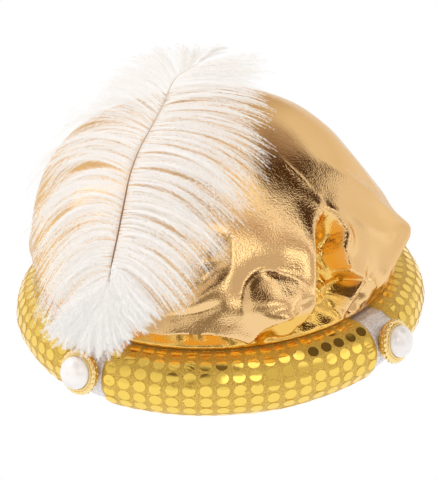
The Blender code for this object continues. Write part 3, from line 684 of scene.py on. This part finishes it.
def make_dots(material):
    """Foil dots in rows round the roll, each a thin slightly dished disc."""
    random = np.random.default_rng(21)
    spokes = np.linspace(0.0, math.tau, DOT_SIDES, endpoint=False)
    faces = dot_faces()
    dots = []
    for sleeve in range(4):
        for column in range(DOT_COLUMNS):
            share = column / (DOT_COLUMNS - 1)
            angle = sleeve * 90.0 + DOT_FIRST_ANGLE + share * (90.0 - 2 * DOT_FIRST_ANGLE)
            for turn in map(dot_turn, range(DOT_ROWS)):
                if DOT_HIDDEN_TURNS[0] < turn < DOT_HIDDEN_TURNS[1]:
                    continue
                tilt = random.normal(0.0, DOT_TILT, 2)
                bend = random.uniform(0.35, 0.75)
                shift = random.normal(0.0, DOT_STRAY, 2)
                disc = [(0.0, 0.0, DOT_LIFT)]
                for radius, is_skirt in ((0.55, False), (1.0, False), (1.0, True)):
                    u = radius * DOT_RADIUS * np.cos(spokes)
                    v = radius * DOT_RADIUS * np.sin(spokes)
                    height = DOT_LIFT + bend * v**2 / (2 * ROLL_RADIUS) + tilt[0] * u + tilt[1] * v
                    if is_skirt:
                        height = np.full(DOT_SIDES, -DOT_SKIRT)
                    disc += list(zip(u, v, height))
                disc.append((0.0, 0.0, -DOT_BACK))
                disc = np.array(disc)
                angles = angle + (disc[:, 0] + shift[0]) / ring_speed(angle)
                turns = turn + np.degrees((disc[:, 1] + shift[1]) / ROLL_RADIUS)
                radius = roll_radius(np.full(len(disc), angle), np.full(len(disc), turn)) + disc[:, 2]
                place = tube_point(angles, turns, radius)
                if place[:, 2].min() >= DOT_MIN_HEIGHT:
                    dots.append((place, faces))
    return mesh_piece("roll_dots", *join_parts(dots), material, 40)


def make_band(side, material):
    """A gathered tube of cloth round the roll's waist."""
    columns, rows = 15, 84
    across = np.linspace(-1.0, 1.0, columns)
    turn = np.linspace(0.0, 360.0, rows, endpoint=False)
    across, turn = (grid.ravel() for grid in np.meshgrid(across, turn, indexing="ij"))
    middle = BAND_ANGLES[side]
    angle = middle + across * (BAND_WIDTH / 2 + 0.0004) / ring_speed(middle)
    ridges = np.sin(np.radians(turn) * 21 + 1.3 * across + 2.0 * np.sin(np.radians(turn) * 3))
    radius = WAIST_RADIUS + 0.0010 + BAND_WALL + 0.00022 * ridges - 0.0004 * across**4
    points = tube_point(angle, turn, radius)
    points[:, 2] = np.maximum(points[:, 2], 0.0006)
    faces = grid_faces(columns, rows, False, True)
    piece = mesh_piece("band_cloth_" + side, points, faces, material, 60)
    add_wall(piece, BAND_WALL)
    return piece


def brooch_matrix(side):
    """Place of a brooch: its +Z leaves the roll's section through the middle of the band."""
    centre, outward, along = ring_frame(BAND_ANGLES[side])
    turn = math.radians(BROOCH_TURN)
    axis = Vector(outward * math.cos(turn)) + Vector((0.0, 0.0, math.sin(turn)))
    across = Vector(along)
    matrix = Matrix((across, axis.cross(across), axis)).transposed().to_4x4()
    matrix.translation = Vector(centre)
    return matrix


def turned_points(profile, sides):
    """Points and faces of a profile of radius and height pairs, turned about Z."""
    spokes = np.linspace(0.0, math.tau, sides, endpoint=False)
    rings = []
    for radius, height in profile:
        ring = (radius * np.cos(spokes), radius * np.sin(spokes), np.full(sides, height))
        rings.append(np.stack(ring, -1))
    points = np.stack(rings, 1).reshape(-1, 3)
    return points, grid_faces(sides, len(profile), True, False)


def rope_points(radius, thickness, height, strands, depth, lean):
    """A torus whose tube carries slanted ridges, like a laid rope."""
    columns, rows = 208, 18
    around = np.linspace(0.0, math.tau, columns, endpoint=False)
    section = np.linspace(0.0, math.tau, rows, endpoint=False)
    u, v = (grid.ravel() for grid in np.meshgrid(around, section, indexing="ij"))
    ridge = np.abs(np.cos((strands * u + lean * v) / 2))
    reach = thickness * (1 - depth + depth * ridge)
    out = radius + reach * np.cos(v)
    points = np.stack([out * np.cos(u), out * np.sin(u), height + reach * np.sin(v)], -1)
    return points, grid_faces(columns, rows, True, True)


def ball_points(centre, radius):
    """A small ball with a low count of sides."""
    turns = np.linspace(0.15, math.pi - 0.15, 6)
    points, faces = turned_points([(radius * math.sin(a), -radius * math.cos(a)) for a in turns], 8)
    return points + centre, faces


def join_parts(parts):
    """One list of points and faces from several."""
    points, faces, count = [], [], 0
    for part_points, part_faces in parts:
        points.append(part_points)
        faces.append(part_faces + count)
        count += len(part_points)
    return np.vstack(points), np.vstack(faces)


def make_bezel(side, material):
    """A cup with a laid rope edge, a milled inner ring and a row of grains between."""
    cup_floor = PEARL_SHOULDER - 0.0024
    profile = [
        (0.0005, cup_floor),
        (PEARL_RADIUS + 0.0002, cup_floor),
        (PEARL_RADIUS + 0.0003, BEZEL_FRONT - 0.0006),
        (PEARL_RADIUS + 0.0012, BEZEL_FRONT - 0.0004),
        (BEZEL_RADIUS - 0.0010, BEZEL_FRONT - 0.0016),
        (BEZEL_RADIUS - 0.0008, ROLL_RADIUS + 0.0006),
        (0.0120, ROLL_RADIUS - 0.0010),
        (0.0080, ROLL_RADIUS - 0.0012),
        (0.0080, WAIST_RADIUS + 0.0026),
        (0.0005, WAIST_RADIUS + 0.0026),
    ]
    parts = [turned_points(profile[::-1], 64)]
    for radius, thickness, height, strands, depth, lean in (
        (BEZEL_RADIUS - 0.0015, ROPE_THICKNESS, BEZEL_FRONT - 0.0018, ROPE_TURNS, 0.34, 2),
        (PEARL_RADIUS + 0.0006, INNER_ROPE_THICKNESS, BEZEL_FRONT - 0.0001, INNER_ROPE_TURNS, 0.45, 1),
    ):
        parts.append(rope_points(radius, thickness, height, strands, depth, lean))
    for k in range(BEAD_COUNT):
        turn = math.tau * (k + 0.5) / BEAD_COUNT
        reach = BEZEL_RADIUS - 0.0001 if k % 2 else BEZEL_RADIUS - 0.0032
        height = BEZEL_FRONT - (0.0034 if k % 2 else 0.0004)
        centre = np.array([reach * math.cos(turn), reach * math.sin(turn), height])
        parts.append(ball_points(centre, BEAD_RADIUS))
    points, faces = join_parts(parts)
    piece = mesh_piece("brooch_bezel_" + side, points, faces, material, 50)
    piece.matrix_world = brooch_matrix(side)
    return piece


def make_pearl(side, material):
    """A domed stone that stands in the bezel's cup."""
    profile = [(0.0002, PEARL_SHOULDER - 0.0022), (PEARL_RADIUS - 0.0004, PEARL_SHOULDER - 0.0022)]
    for share in np.linspace(0.0, 0.985, 18):
        turn = math.radians(90.0 * share)
        profile.append((PEARL_RADIUS * math.cos(turn), PEARL_SHOULDER + PEARL_DOME * math.sin(turn)))
    points, faces = turned_points(profile, 56)
    piece = mesh_piece("brooch_pearl_" + side, points, faces, material, 50)
    piece.matrix_world = brooch_matrix(side)
    return piece


def quill_line():
    """The quill's stops in space, from behind the front bezel to its tip over the crown."""
    foot = [tube_point(0.0, turn, ROLL_RADIUS + 0.0010) for turn in QUILL_BAND_TURNS]
    rest = [above_crown(*stop) for stop in QUILL_STOPS]
    return np.array(foot + rest)


def quill_at(share):
    """Points along the quill's line at shares of its stops."""
    points = quill_line()
    return spline(points, np.clip(share, 0.0, 1.0) * (len(points) - 1))


def unit(vectors):
    """Vectors made one unit long."""
    return vectors / np.maximum(np.linalg.norm(vectors, axis=-1, keepdims=True), 1e-9)


def side_axes(ways):
    """Two unit vectors across each way, at right angles to each other."""
    helper = np.where(np.abs(ways[..., 2:]) < 0.9, np.array([0.0, 0.0, 1.0]), np.array([1.0, 0.0, 0.0]))
    u = unit(np.cross(ways, helper))
    return u, np.cross(ways, u)


def tube_mesh(lines, radii, sides):
    """Closed tapering tubes round lines, all of one number of points."""
    count, steps = lines.shape[:2]
    u, v = side_axes(unit(np.gradient(lines, axis=1)))
    spokes = np.linspace(0.0, math.tau, sides, endpoint=False)
    ring = np.cos(spokes)[:, None] * u[:, :, None, :] + np.sin(spokes)[:, None] * v[:, :, None, :]
    points = lines[:, :, None, :] + radii[..., None, None] * ring
    i, j = np.meshgrid(np.arange(steps - 1) * sides, np.arange(sides), indexing="ij")
    j2 = (j + 1) % sides
    quads = np.stack([i + j, i + j2, i + sides + j2, i + sides + j], -1).reshape(-1, 4)
    faces = np.vstack([quads[:, [0, 1, 2]], quads[:, [0, 2, 3]]])
    caps = [(0, k + 1, k) for k in range(1, sides - 1)]
    end = (steps - 1) * sides
    caps += [(end, end + k, end + k + 1) for k in range(1, sides - 1)]
    faces = np.vstack([faces, np.array(caps)])
    whole = faces[None] + (np.arange(count) * steps * sides)[:, None, None]
    return points.reshape(-1, 3), whole.reshape(-1, 3)


def spike_mesh(roots, ways, lengths, width):
    """Closed three-sided spikes from roots along ways."""
    u, v = side_axes(ways)
    corners = [roots + ways * lengths[:, None]]
    for turn in (0.0, math.tau / 3, 2 * math.tau / 3):
        corners.append(roots + width[:, None] * (math.cos(turn) * u + math.sin(turn) * v))
    points = np.stack(corners, 1).reshape(-1, 3)
    one = np.array([(0, 1, 2), (0, 2, 3), (0, 3, 1), (1, 3, 2)])
    faces = one[None] + (np.arange(len(roots)) * 4)[:, None, None]
    return points, faces.reshape(-1, 3)


def bezier(controls, share):
    """Points and ways of cubic curves, one for each row of controls."""
    a, b, c, d = (controls[:, k, None, :] for k in range(4))
    t = share[..., None]
    point = a * (1 - t) ** 3 + 3 * b * t * (1 - t) ** 2 + 3 * c * t**2 * (1 - t) + d * t**3
    way = 3 * (b - a) * (1 - t) ** 2 + 6 * (c - b) * t * (1 - t) + 3 * (d - c) * t**2
    return point, unit(way)


def feather_mesh(controls, outward, barbules, random):
    """Barbs along cubic curves, each with two rows of fine barbules."""
    count = len(controls)
    steps = np.tile(np.linspace(0.0, 1.0, BARB_STEPS), (count, 1))
    lines, _ = bezier(controls, steps)
    parts = [tube_mesh(lines, BARB_RADIUS * (1 - 0.8 * steps), 3)]
    places = np.arange(barbules.count)
    for hand in (-1.0, 1.0):
        share = (places + random.uniform(0, 1, (count, barbules.count))) / barbules.count
        share = 0.02 + 0.97 * share
        root, way = bezier(controls, share)
        side = unit(np.cross(way, outward[:, None, :]))
        shape = np.sin(math.pi * np.clip(share, 0, 1) ** 0.62) * 0.72 + 0.28
        swing = random.normal(0.0, barbules.stray, root.shape)
        going = unit(way + hand * side * BARBULE_SPREAD + swing + [0.0, 0.0, -BARBULE_DROOP])
        length = (barbules.reach * shape * random.uniform(0.55, 1.25, share.shape)).ravel()
        width = np.full(length.size, barbules.width)
        parts.append(spike_mesh(root.reshape(-1, 3), going.reshape(-1, 3), length, width))
    return join_parts(parts)


def side_controls(tips, count, arch_at, random):
    """Curves of the barbs on one side of the quill, drawn together in locks."""
    shares = tips[0].root + (1.0 - tips[0].root) * np.linspace(0.0, 1.0, count) ** 1.04
    shares = np.clip(shares + random.normal(0.0, 0.0015, count), 0.10, 1.0)
    stops = np.array([above_crown(tip.angle, tip.rise, tip.clearance) for tip in tips])
    normals = np.array([crown_normal(tip.angle, min(tip.rise, 0.97)) for tip in tips])
    lock = np.floor((shares - tips[0].root) * LOCKS + 0.5 * np.sin(shares * 91)).astype(int)
    lock -= lock.min()
    shift, lock_reach, lock_drop = random.normal(0.0, 1.0, (3, lock.max() + 1))
    roots_at = np.array([tip.root for tip in tips])
    aim = shares + 0.007 * shift[lock] + random.normal(0.0, 0.009, count)
    place = np.interp(aim, roots_at, np.arange(len(tips)))
    tip = spline(stops, place)
    outward = unit(spline(normals, place))
    root = quill_at(shares)
    quill_way = unit(quill_at(shares + 0.012) - quill_at(shares - 0.012))
    for group in np.unique(lock):
        members = lock == group
        tip[members] += (tip[members].mean(0) - tip[members]) * LOCK_PULL
    span = np.linalg.norm(tip - root, axis=-1)[:, None]
    way = unit(tip - root)
    reach = 0.94 + 0.05 * lock_reach[lock][:, None] + random.normal(0.0, 0.055, (count, 1))
    tip = root + (tip - root) * reach
    tip += outward * span * (0.02 * lock_drop[lock][:, None] + random.normal(0.0, 0.015, (count, 1)))
    arch = np.interp(shares, arch_at[0], arch_at[1])[:, None]
    middle = root + 0.45 * (tip - root) + quill_way * span * arch + outward * span * (0.08 + 0.35 * arch)
    middle += outward * span * 0.03 * lock_drop[lock][:, None]
    early = root + 0.66 * (middle - root) + random.normal(0.0, 0.0006, tip.shape)
    late = tip + 0.60 * (middle - tip) + way * span * 0.04 + random.normal(0.0, 0.0009, tip.shape)
    return np.stack([root, early, late, tip], 1), outward


def down_controls(count, random):
    """Curves of the down that falls from the quill's foot over the front of the roll."""
    stops = np.array([above_crown(tip.angle, tip.rise, tip.clearance) for tip in DOWN_TIPS])
    normals = np.array([crown_normal(tip.angle, tip.rise) for tip in DOWN_TIPS])
    place = np.sort(random.uniform(0.0, len(DOWN_TIPS) - 1.0, count))
    lock = np.floor(place * 3.4).astype(int)
    tip = spline(stops, place)
    for group in np.unique(lock):
        members = lock == group
        tip[members] += (tip[members].mean(0) - tip[members]) * DOWN_LOCK_PULL
    level = random.uniform(0.0, 1.0, count)
    lowest = np.interp(place, np.arange(len(DOWN_TIPS)), [tip.root for tip in DOWN_TIPS])
    root = quill_at(lowest - 0.01 + 0.10 * level)
    outward = unit(spline(normals, place) + [0.0, 0.0, 0.35])
    span = np.linalg.norm(tip - root, axis=-1)[:, None]
    tip = root + (tip - root) * (0.72 + 0.32 * random.uniform(0, 1, (count, 1)) ** 0.6)
    tip += random.normal(0.0, 0.0022, tip.shape)
    lift = (0.10 + 0.22 * level)[:, None]
    middle = root + 0.45 * (tip - root) + outward * span * lift
    early = root + 0.60 * (middle - root)
    late = tip + 0.60 * (middle - tip) + random.normal(0.0, 0.0015, tip.shape)
    return np.stack([root, early, late, tip], 1), outward


def make_plume(quill_material, barb_material):
    """The quill, the barbs on its two sides and the down at its foot."""
    random = np.random.default_rng(5)
    shares = np.linspace(0.03, 1.0, 90)
    line = quill_at(shares)[None]
    radii = (QUILL_RADIUS + (QUILL_TIP_RADIUS - QUILL_RADIUS) * shares)[None]
    points, faces = tube_mesh(line, radii, 10)
    pieces = [mesh_piece("plume_quill", points, faces, quill_material, 60)]
    for name, tips, arch in (
        ("plume_barbs_right", RIGHT_TIPS, RIGHT_ARCH),
        ("plume_barbs_left", LEFT_TIPS, LEFT_ARCH),
    ):
        controls, outward = side_controls(tips, BARBS_PER_SIDE, arch, random)
        points, faces = feather_mesh(controls, outward, SIDE_BARBULES, random)
        pieces.append(mesh_piece(name, points, faces, barb_material))
    controls, outward = down_controls(DOWN_BARBS, random)
    points, faces = feather_mesh(controls, outward, DOWN_BARBULES, random)
    pieces.append(mesh_piece("plume_down", points, faces, barb_material))
    return pieces


def set_inputs(node, values):
    """Sets a node's own sockets, with an alpha of 1 for colours."""
    for name, value in values.items():
        node.inputs[name].default_value = (*value, 1.0) if isinstance(value, tuple) else value


def new_material(name, values):
    """A material whose shader has these values."""
    made = bpy.data.materials.new(name)
    made.use_nodes = True
    nodes = made.node_tree.nodes
    shader = nodes["Principled BSDF"]
    set_inputs(shader, values)
    return made, nodes, made.node_tree.links, shader


def add_ramp(nodes, links, source, target, low, high):
    """Colours a socket by a source, from a low place and colour to a high one."""
    ramp = nodes.new("ShaderNodeValToRGB")
    for element, (position, colour) in zip(ramp.color_ramp.elements, (low, high)):
        element.position = position
        element.color = (*colour, 1.0)
    links.new(source, ramp.inputs["Fac"])
    links.new(ramp.outputs["Color"], target)


def add_bump(nodes, links, shader, height, strength, distance, after=None):
    """Fine relief on a shader, on top of another where one is named."""
    bump = nodes.new("ShaderNodeBump")
    set_inputs(bump, {"Strength": strength, "Distance": distance})
    links.new(height, bump.inputs["Height"])
    if after is not None:
        links.new(after.outputs["Normal"], bump.inputs["Normal"])
    links.new(bump.outputs["Normal"], shader.inputs["Normal"])
    return bump


def noise(nodes, links, scale, detail, roughness, stretch=None):
    """A noise texture in the object's own coordinates, in waves to the metre."""
    where = nodes.new("ShaderNodeTexCoord")
    texture = nodes.new("ShaderNodeTexNoise")
    set_inputs(texture, {"Scale": scale, "Detail": detail, "Roughness": roughness})
    place = where.outputs["Object"]
    if stretch is not None:
        mapping = nodes.new("ShaderNodeMapping")
        mapping.inputs["Scale"].default_value = stretch
        links.new(place, mapping.inputs["Vector"])
        place = mapping.outputs["Vector"]
    links.new(place, texture.inputs["Vector"])
    return texture


def lame_material():
    """Gold-coated knit: a metallic sheet with a fine grain and a slight crinkle, painted a deeper orange in
    its deep folds as painted shade and reflection.
    """
    made, nodes, links, shader = new_material("gold lame", {
        "Metallic": 1.0,
        "Specular Tint": (0.86, 0.72, 0.54),
        "Roughness": 0.09,
    })
    # Painted shade and reflection: inside the deep folds the base colour turns from the lamé's own gold, A,
    # to a deeper orange, B, which stands in for light bounced between the gold folds.
    deep = nodes.new("ShaderNodeAttribute")
    deep.attribute_name = "deep"
    painted_fold_shade = nodes.new("ShaderNodeMix")
    painted_fold_shade.data_type = "RGBA"
    painted_fold_shade.inputs["A"].default_value = (0.900, 0.600, 0.290, 1.0)
    painted_fold_shade.inputs["B"].default_value = (0.900, 0.560, 0.140, 1.0)
    links.new(deep.outputs["Fac"], painted_fold_shade.inputs["Factor"])
    links.new(painted_fold_shade.outputs["Result"], shader.inputs["Base Color"])
    crinkle = noise(nodes, links, 60.0, 3.0, 0.55, (1.0, 1.0, 0.6))
    first = add_bump(nodes, links, shader, crinkle.outputs["Fac"], 0.10, 0.0020)
    grain = noise(nodes, links, 1150.0, 1.0, 0.5)
    add_bump(nodes, links, shader, grain.outputs["Fac"], 1.0, 0.00014, first)
    return made


def dotted_material():
    """The roll's ground cloth: dull gold with a fine glittering grain and a faint painted glow that lifts
    its shade.
    """
    made, nodes, links, shader = new_material("dotted gold cloth", {
        "Metallic": 0.75,
        "Roughness": 0.42,
        # Painted light: a faint gold glow that lifts the cloth where it lies in shade.
        "Emission Color": (1.0, 0.62, 0.10),
        "Emission Strength": 0.09,
    })
    grain = noise(nodes, links, 1500.0, 2.0, 0.7).outputs["Fac"]
    dark, light = (0.32, (0.38, 0.205, 0.028)), (0.66, (0.84, 0.59, 0.125))
    add_ramp(nodes, links, grain, shader.inputs["Base Color"], dark, light)
    add_bump(nodes, links, shader, grain, 0.7, 0.00035)
    return made


def foil_material():
    """Mirror-bright gold foil with a faint painted glow that lifts its dark reflections."""
    made, nodes, links, shader = new_material("gold foil dots", {
        "Base Color": (0.890, 0.630, 0.125),
        "Metallic": 1.0,
        "Roughness": 0.05,
        # Painted light: a faint gold glow that lifts the dots where they reflect shade.
        "Emission Color": (1.0, 0.68, 0.15),
        "Emission Strength": 0.06,
    })
    ripple = noise(nodes, links, 420.0, 1.0, 0.4)
    add_bump(nodes, links, shader, ripple.outputs["Fac"], 0.25, 0.00008)
    return made


def silver_material():
    """Silver cloth with a sparkling grain."""
    made, nodes, links, shader = new_material("silver glitter cloth", {"Metallic": 0.6, "Roughness": 0.38})
    where = nodes.new("ShaderNodeTexCoord")
    cells = nodes.new("ShaderNodeTexVoronoi")
    cells.inputs["Scale"].default_value = 1400.0
    links.new(where.outputs["Object"], cells.inputs["Vector"])
    dark, light = (0.15, (0.66, 0.61, 0.62)), (0.75, (1.00, 0.97, 0.97))
    add_ramp(nodes, links, cells.outputs["Color"], shader.inputs["Base Color"], dark, light)
    add_bump(nodes, links, shader, cells.outputs["Distance"], 0.8, 0.0004)
    return made


def gilt_material():
    """Polished cast gilt metal."""
    made, nodes, links, shader = new_material("gilt metal", {
        "Base Color": (1.000, 0.780, 0.370),
        "Metallic": 1.0,
        "Roughness": 0.20,
    })
    cast = noise(nodes, links, 900.0, 2.0, 0.6)
    add_bump(nodes, links, shader, cast.outputs["Fac"], 0.4, 0.0002)
    return made


def pearl_material():
    """Pearl with a clear coat and a faint painted glow."""
    made, nodes, links, shader = new_material("pearl", {
        "Metallic": 0.22,
        "Roughness": 0.30,
        # Painted light: a faint glow that brightens the pearl.
        "Emission Color": (1.0, 0.97, 0.96),
        "Emission Strength": 0.03,
        "Coat Weight": 0.8,
        "Coat Roughness": 0.06,
    })
    cloud = noise(nodes, links, 90.0, 2.0, 0.5).outputs["Fac"]
    dark, light = (0.35, (0.83, 0.79, 0.78)), (0.65, (0.92, 0.90, 0.89))
    add_ramp(nodes, links, cloud, shader.inputs["Base Color"], dark, light)
    return made


def quill_material():
    """Pinkish brown quill, paler towards its tip."""
    made, nodes, links, shader = new_material("quill", {"Roughness": 0.45})
    where = nodes.new("ShaderNodeTexCoord")
    split = nodes.new("ShaderNodeSeparateXYZ")
    links.new(where.outputs["Object"], split.inputs["Vector"])
    dark, light = (0.128, (0.22, 0.12, 0.09)), (0.168, (0.70, 0.60, 0.52))
    add_ramp(nodes, links, split.outputs["Z"], shader.inputs["Base Color"], dark, light)
    return made


def barb_material():
    """White barbs that let some light through, with a painted glow that brightens them where they shade
    each other.
    """
    made, nodes, links, shader = new_material("ostrich barbs", {
        "Base Color": (0.935, 0.925, 0.915),
        "Roughness": 0.80,
        # Painted light: the barbs glow, which lifts them where they shade one another, in place of the
        # light that passes through real barbs.
        "Emission Color": (0.99, 0.985, 0.98),
        "Emission Strength": 0.29,
    })
    glow = nodes.new("ShaderNodeBsdfTranslucent")
    glow.inputs["Color"].default_value = (0.965, 0.945, 0.92, 1.0)
    mix = nodes.new("ShaderNodeMixShader")
    mix.inputs["Fac"].default_value = 0.42
    links.new(shader.outputs["BSDF"], mix.inputs[1])
    links.new(glow.outputs["BSDF"], mix.inputs[2])
    links.new(mix.outputs["Shader"], nodes["Material Output"].inputs["Surface"])
    return made


# Ground: half its side, and how far it lies under the hat. The lamps' aim is inside the crown.
GROUND_HALF = 15.0
GROUND_DROP = 0.0005
LAMP_AIM = (0.0, 0.0, 0.06)

# Light round the hat: each glow has a direction, two half-angles in degrees that it is full
# inside and gone outside, and a colour that stands for its strength too.
Glow = namedtuple("Glow", "name azimuth elevation full gone colour")
SKY = (0.66, 0.60, 0.54)
GLOWS = (
    Glow("front_wall", 10.0, 5.0, 30.0, 48.0, (0.88, 0.85, 0.80)),
    Glow("left_wall", -80.0, 15.0, 30.0, 55.0, (0.90, 0.87, 0.84)),
    Glow("back_wall", 168.0, 6.0, 28.0, 38.0, (0.88, 0.85, 0.82)),
    Glow("left_panel", -67.0, 41.0, 10.0, 17.0, (2.30, 2.25, 2.20)),
    Glow("right_panel", 112.0, 50.0, 17.0, 22.0, (1.08, 1.06, 1.04)),
    Glow("right_low_panel", 114.0, 18.0, 9.0, 15.0, (1.30, 1.26, 1.20)),
    Glow("dark_front_ceiling", 5.0, 66.0, 20.0, 25.0, (0.12, 0.08, 0.05)),
    Glow("dim_front_right", 32.0, 19.0, 14.0, 19.0, (0.32, 0.27, 0.21)),
    Glow("front_right_panel", 56.0, 36.0, 8.0, 11.5, (1.65, 1.60, 1.50)),
    Glow("dark_back_near", 146.0, 50.0, 14.5, 15.5, (0.070, 0.036, 0.018)),
    Glow("dark_back_middle", 155.0, 43.0, 14.0, 15.5, (0.070, 0.036, 0.018)),
    Glow("dark_back_far", 175.0, 44.0, 8.0, 13.0, (0.34, 0.25, 0.20)),
    Glow("pink_wall", 86.0, 49.0, 6.5, 9.0, (0.56, 0.41, 0.34)),
    Glow("ceiling_panel", 118.0, 74.0, 7.0, 11.0, (1.45, 1.43, 1.38)),
)


def make_sky():
    """World light from the glows."""
    world = bpy.data.worlds.new("studio")
    world.use_nodes = True
    bpy.context.scene.world = world
    nodes, links = world.node_tree.nodes, world.node_tree.links
    where = nodes.new("ShaderNodeTexCoord")
    base = nodes.new("ShaderNodeRGB")
    base.outputs["Color"].default_value = (*SKY, 1.0)
    colour = base.outputs["Color"]
    for glow in GLOWS:
        azimuth, elevation = math.radians(glow.azimuth), math.radians(glow.elevation)
        level = math.cos(elevation)
        way = (math.sin(azimuth) * level, -math.cos(azimuth) * level, math.sin(elevation))
        facing = nodes.new("ShaderNodeVectorMath")
        facing.operation = "DOT_PRODUCT"
        facing.inputs[1].default_value = way
        links.new(where.outputs["Generated"], facing.inputs[0])
        fade = nodes.new("ShaderNodeMapRange")
        fade.interpolation_type = "SMOOTHSTEP"
        gone, full = math.cos(math.radians(glow.gone)), math.cos(math.radians(glow.full))
        set_inputs(fade, {"From Min": gone, "From Max": full})
        links.new(facing.outputs["Value"], fade.inputs["Value"])
        mix = nodes.new("ShaderNodeMix")
        mix.data_type = "RGBA"
        mix.inputs["B"].default_value = (*glow.colour, 1.0)
        links.new(fade.outputs["Result"], mix.inputs["Factor"])
        links.new(colour, mix.inputs["A"])
        colour = mix.outputs["Result"]
    links.new(colour, nodes["Background"].inputs["Color"])


def make_stage():
    """A plain white ground and two soft lamps."""
    ground = bpy.data.materials.new("white ground")
    ground.use_nodes = True
    nodes, links = ground.node_tree.nodes, ground.node_tree.links
    nodes.remove(nodes["Principled BSDF"])
    glow = nodes.new("ShaderNodeEmission")
    set_inputs(glow, {"Color": (1.0, 1.0, 1.0), "Strength": 1.0})
    links.new(glow.outputs["Emission"], nodes["Material Output"].inputs["Surface"])
    plan = ((-1, -1), (1, -1), (1, 1), (-1, 1))
    points = [(x * GROUND_HALF, y * GROUND_HALF, -GROUND_DROP) for x, y in plan]
    floor = mesh_piece("ground", points, [(0, 1, 2, 3)], ground)
    lamps = []
    for name, place, size, power in (
        ("key_lamp", (-0.9, -1.3, 1.8), 0.5, 18.0),
        ("side_lamp", (1.5, -0.9, 1.5), 0.5, 9.0),
    ):
        lamp = bpy.data.lights.new(name, "AREA")
        lamp.shape = "DISK"
        lamp.size = size
        lamp.energy = power
        made = bpy.data.objects.new(name, lamp)
        made.location = place
        made.visible_glossy = False
        aim = Vector(LAMP_AIM) - Vector(place)
        made.rotation_euler = aim.to_track_quat("-Z", "Y").to_euler()
        bpy.context.scene.collection.objects.link(made)
        lamps.append(made)
    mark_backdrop(floor, *lamps)


def make_camera():
    """The camera of the photograph's view."""
    data = bpy.data.cameras.new("camera")
    data.lens = CAMERA_LENS_MM
    data.sensor_width = 36.0
    data.clip_start = 0.01
    data.clip_end = 100.0
    camera = bpy.data.objects.new("camera", data)
    forward = (Vector(CAMERA_AIM) - Vector(CAMERA_EYE)).normalized()
    up = Vector(CAMERA_UP)
    right = forward.cross(up).normalized()
    up = right.cross(forward)
    matrix = Matrix((right, up, -forward)).transposed().to_4x4()
    matrix.translation = Vector(CAMERA_EYE)
    camera.matrix_world = matrix
    bpy.context.scene.collection.objects.link(camera)
    bpy.context.scene.camera = camera


def corners(box):
    """A box's two corners as lists of plain numbers."""
    return [[float(x) for x in corner] for corner in box]


def build():
    """Makes the scene, and gives the box of the frame's pieces."""
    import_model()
    cad = corners(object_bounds())
    scene = bpy.context.scene
    scene.view_settings.view_transform = "Standard"
    make_sky()
    make_stage()
    make_camera()

    crown = make_crown(lame_material())
    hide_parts("crown")
    roll = make_roll(dotted_material())
    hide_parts("roll")
    dots = make_dots(foil_material())
    silver = silver_material()
    bands = {}
    for side in BAND_ANGLES:
        bands[side] = make_band(side, silver)
        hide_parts("band_" + side)
    gilt, nacre = gilt_material(), pearl_material()
    brooches = []
    for side in BROOCH_SIDES:
        bezel = make_bezel(side, gilt)
        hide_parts("bezel_" + side)
        pearl = make_pearl(side, nacre)
        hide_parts("pearl_" + side)
        brooches += [bezel, pearl]
    plume = make_plume(quill_material(), barb_material())
    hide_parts("plume")

    for piece in [crown, roll, dots, *bands.values(), *brooches, *plume]:
        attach(piece, "root")
    return cad


cad_box = build()
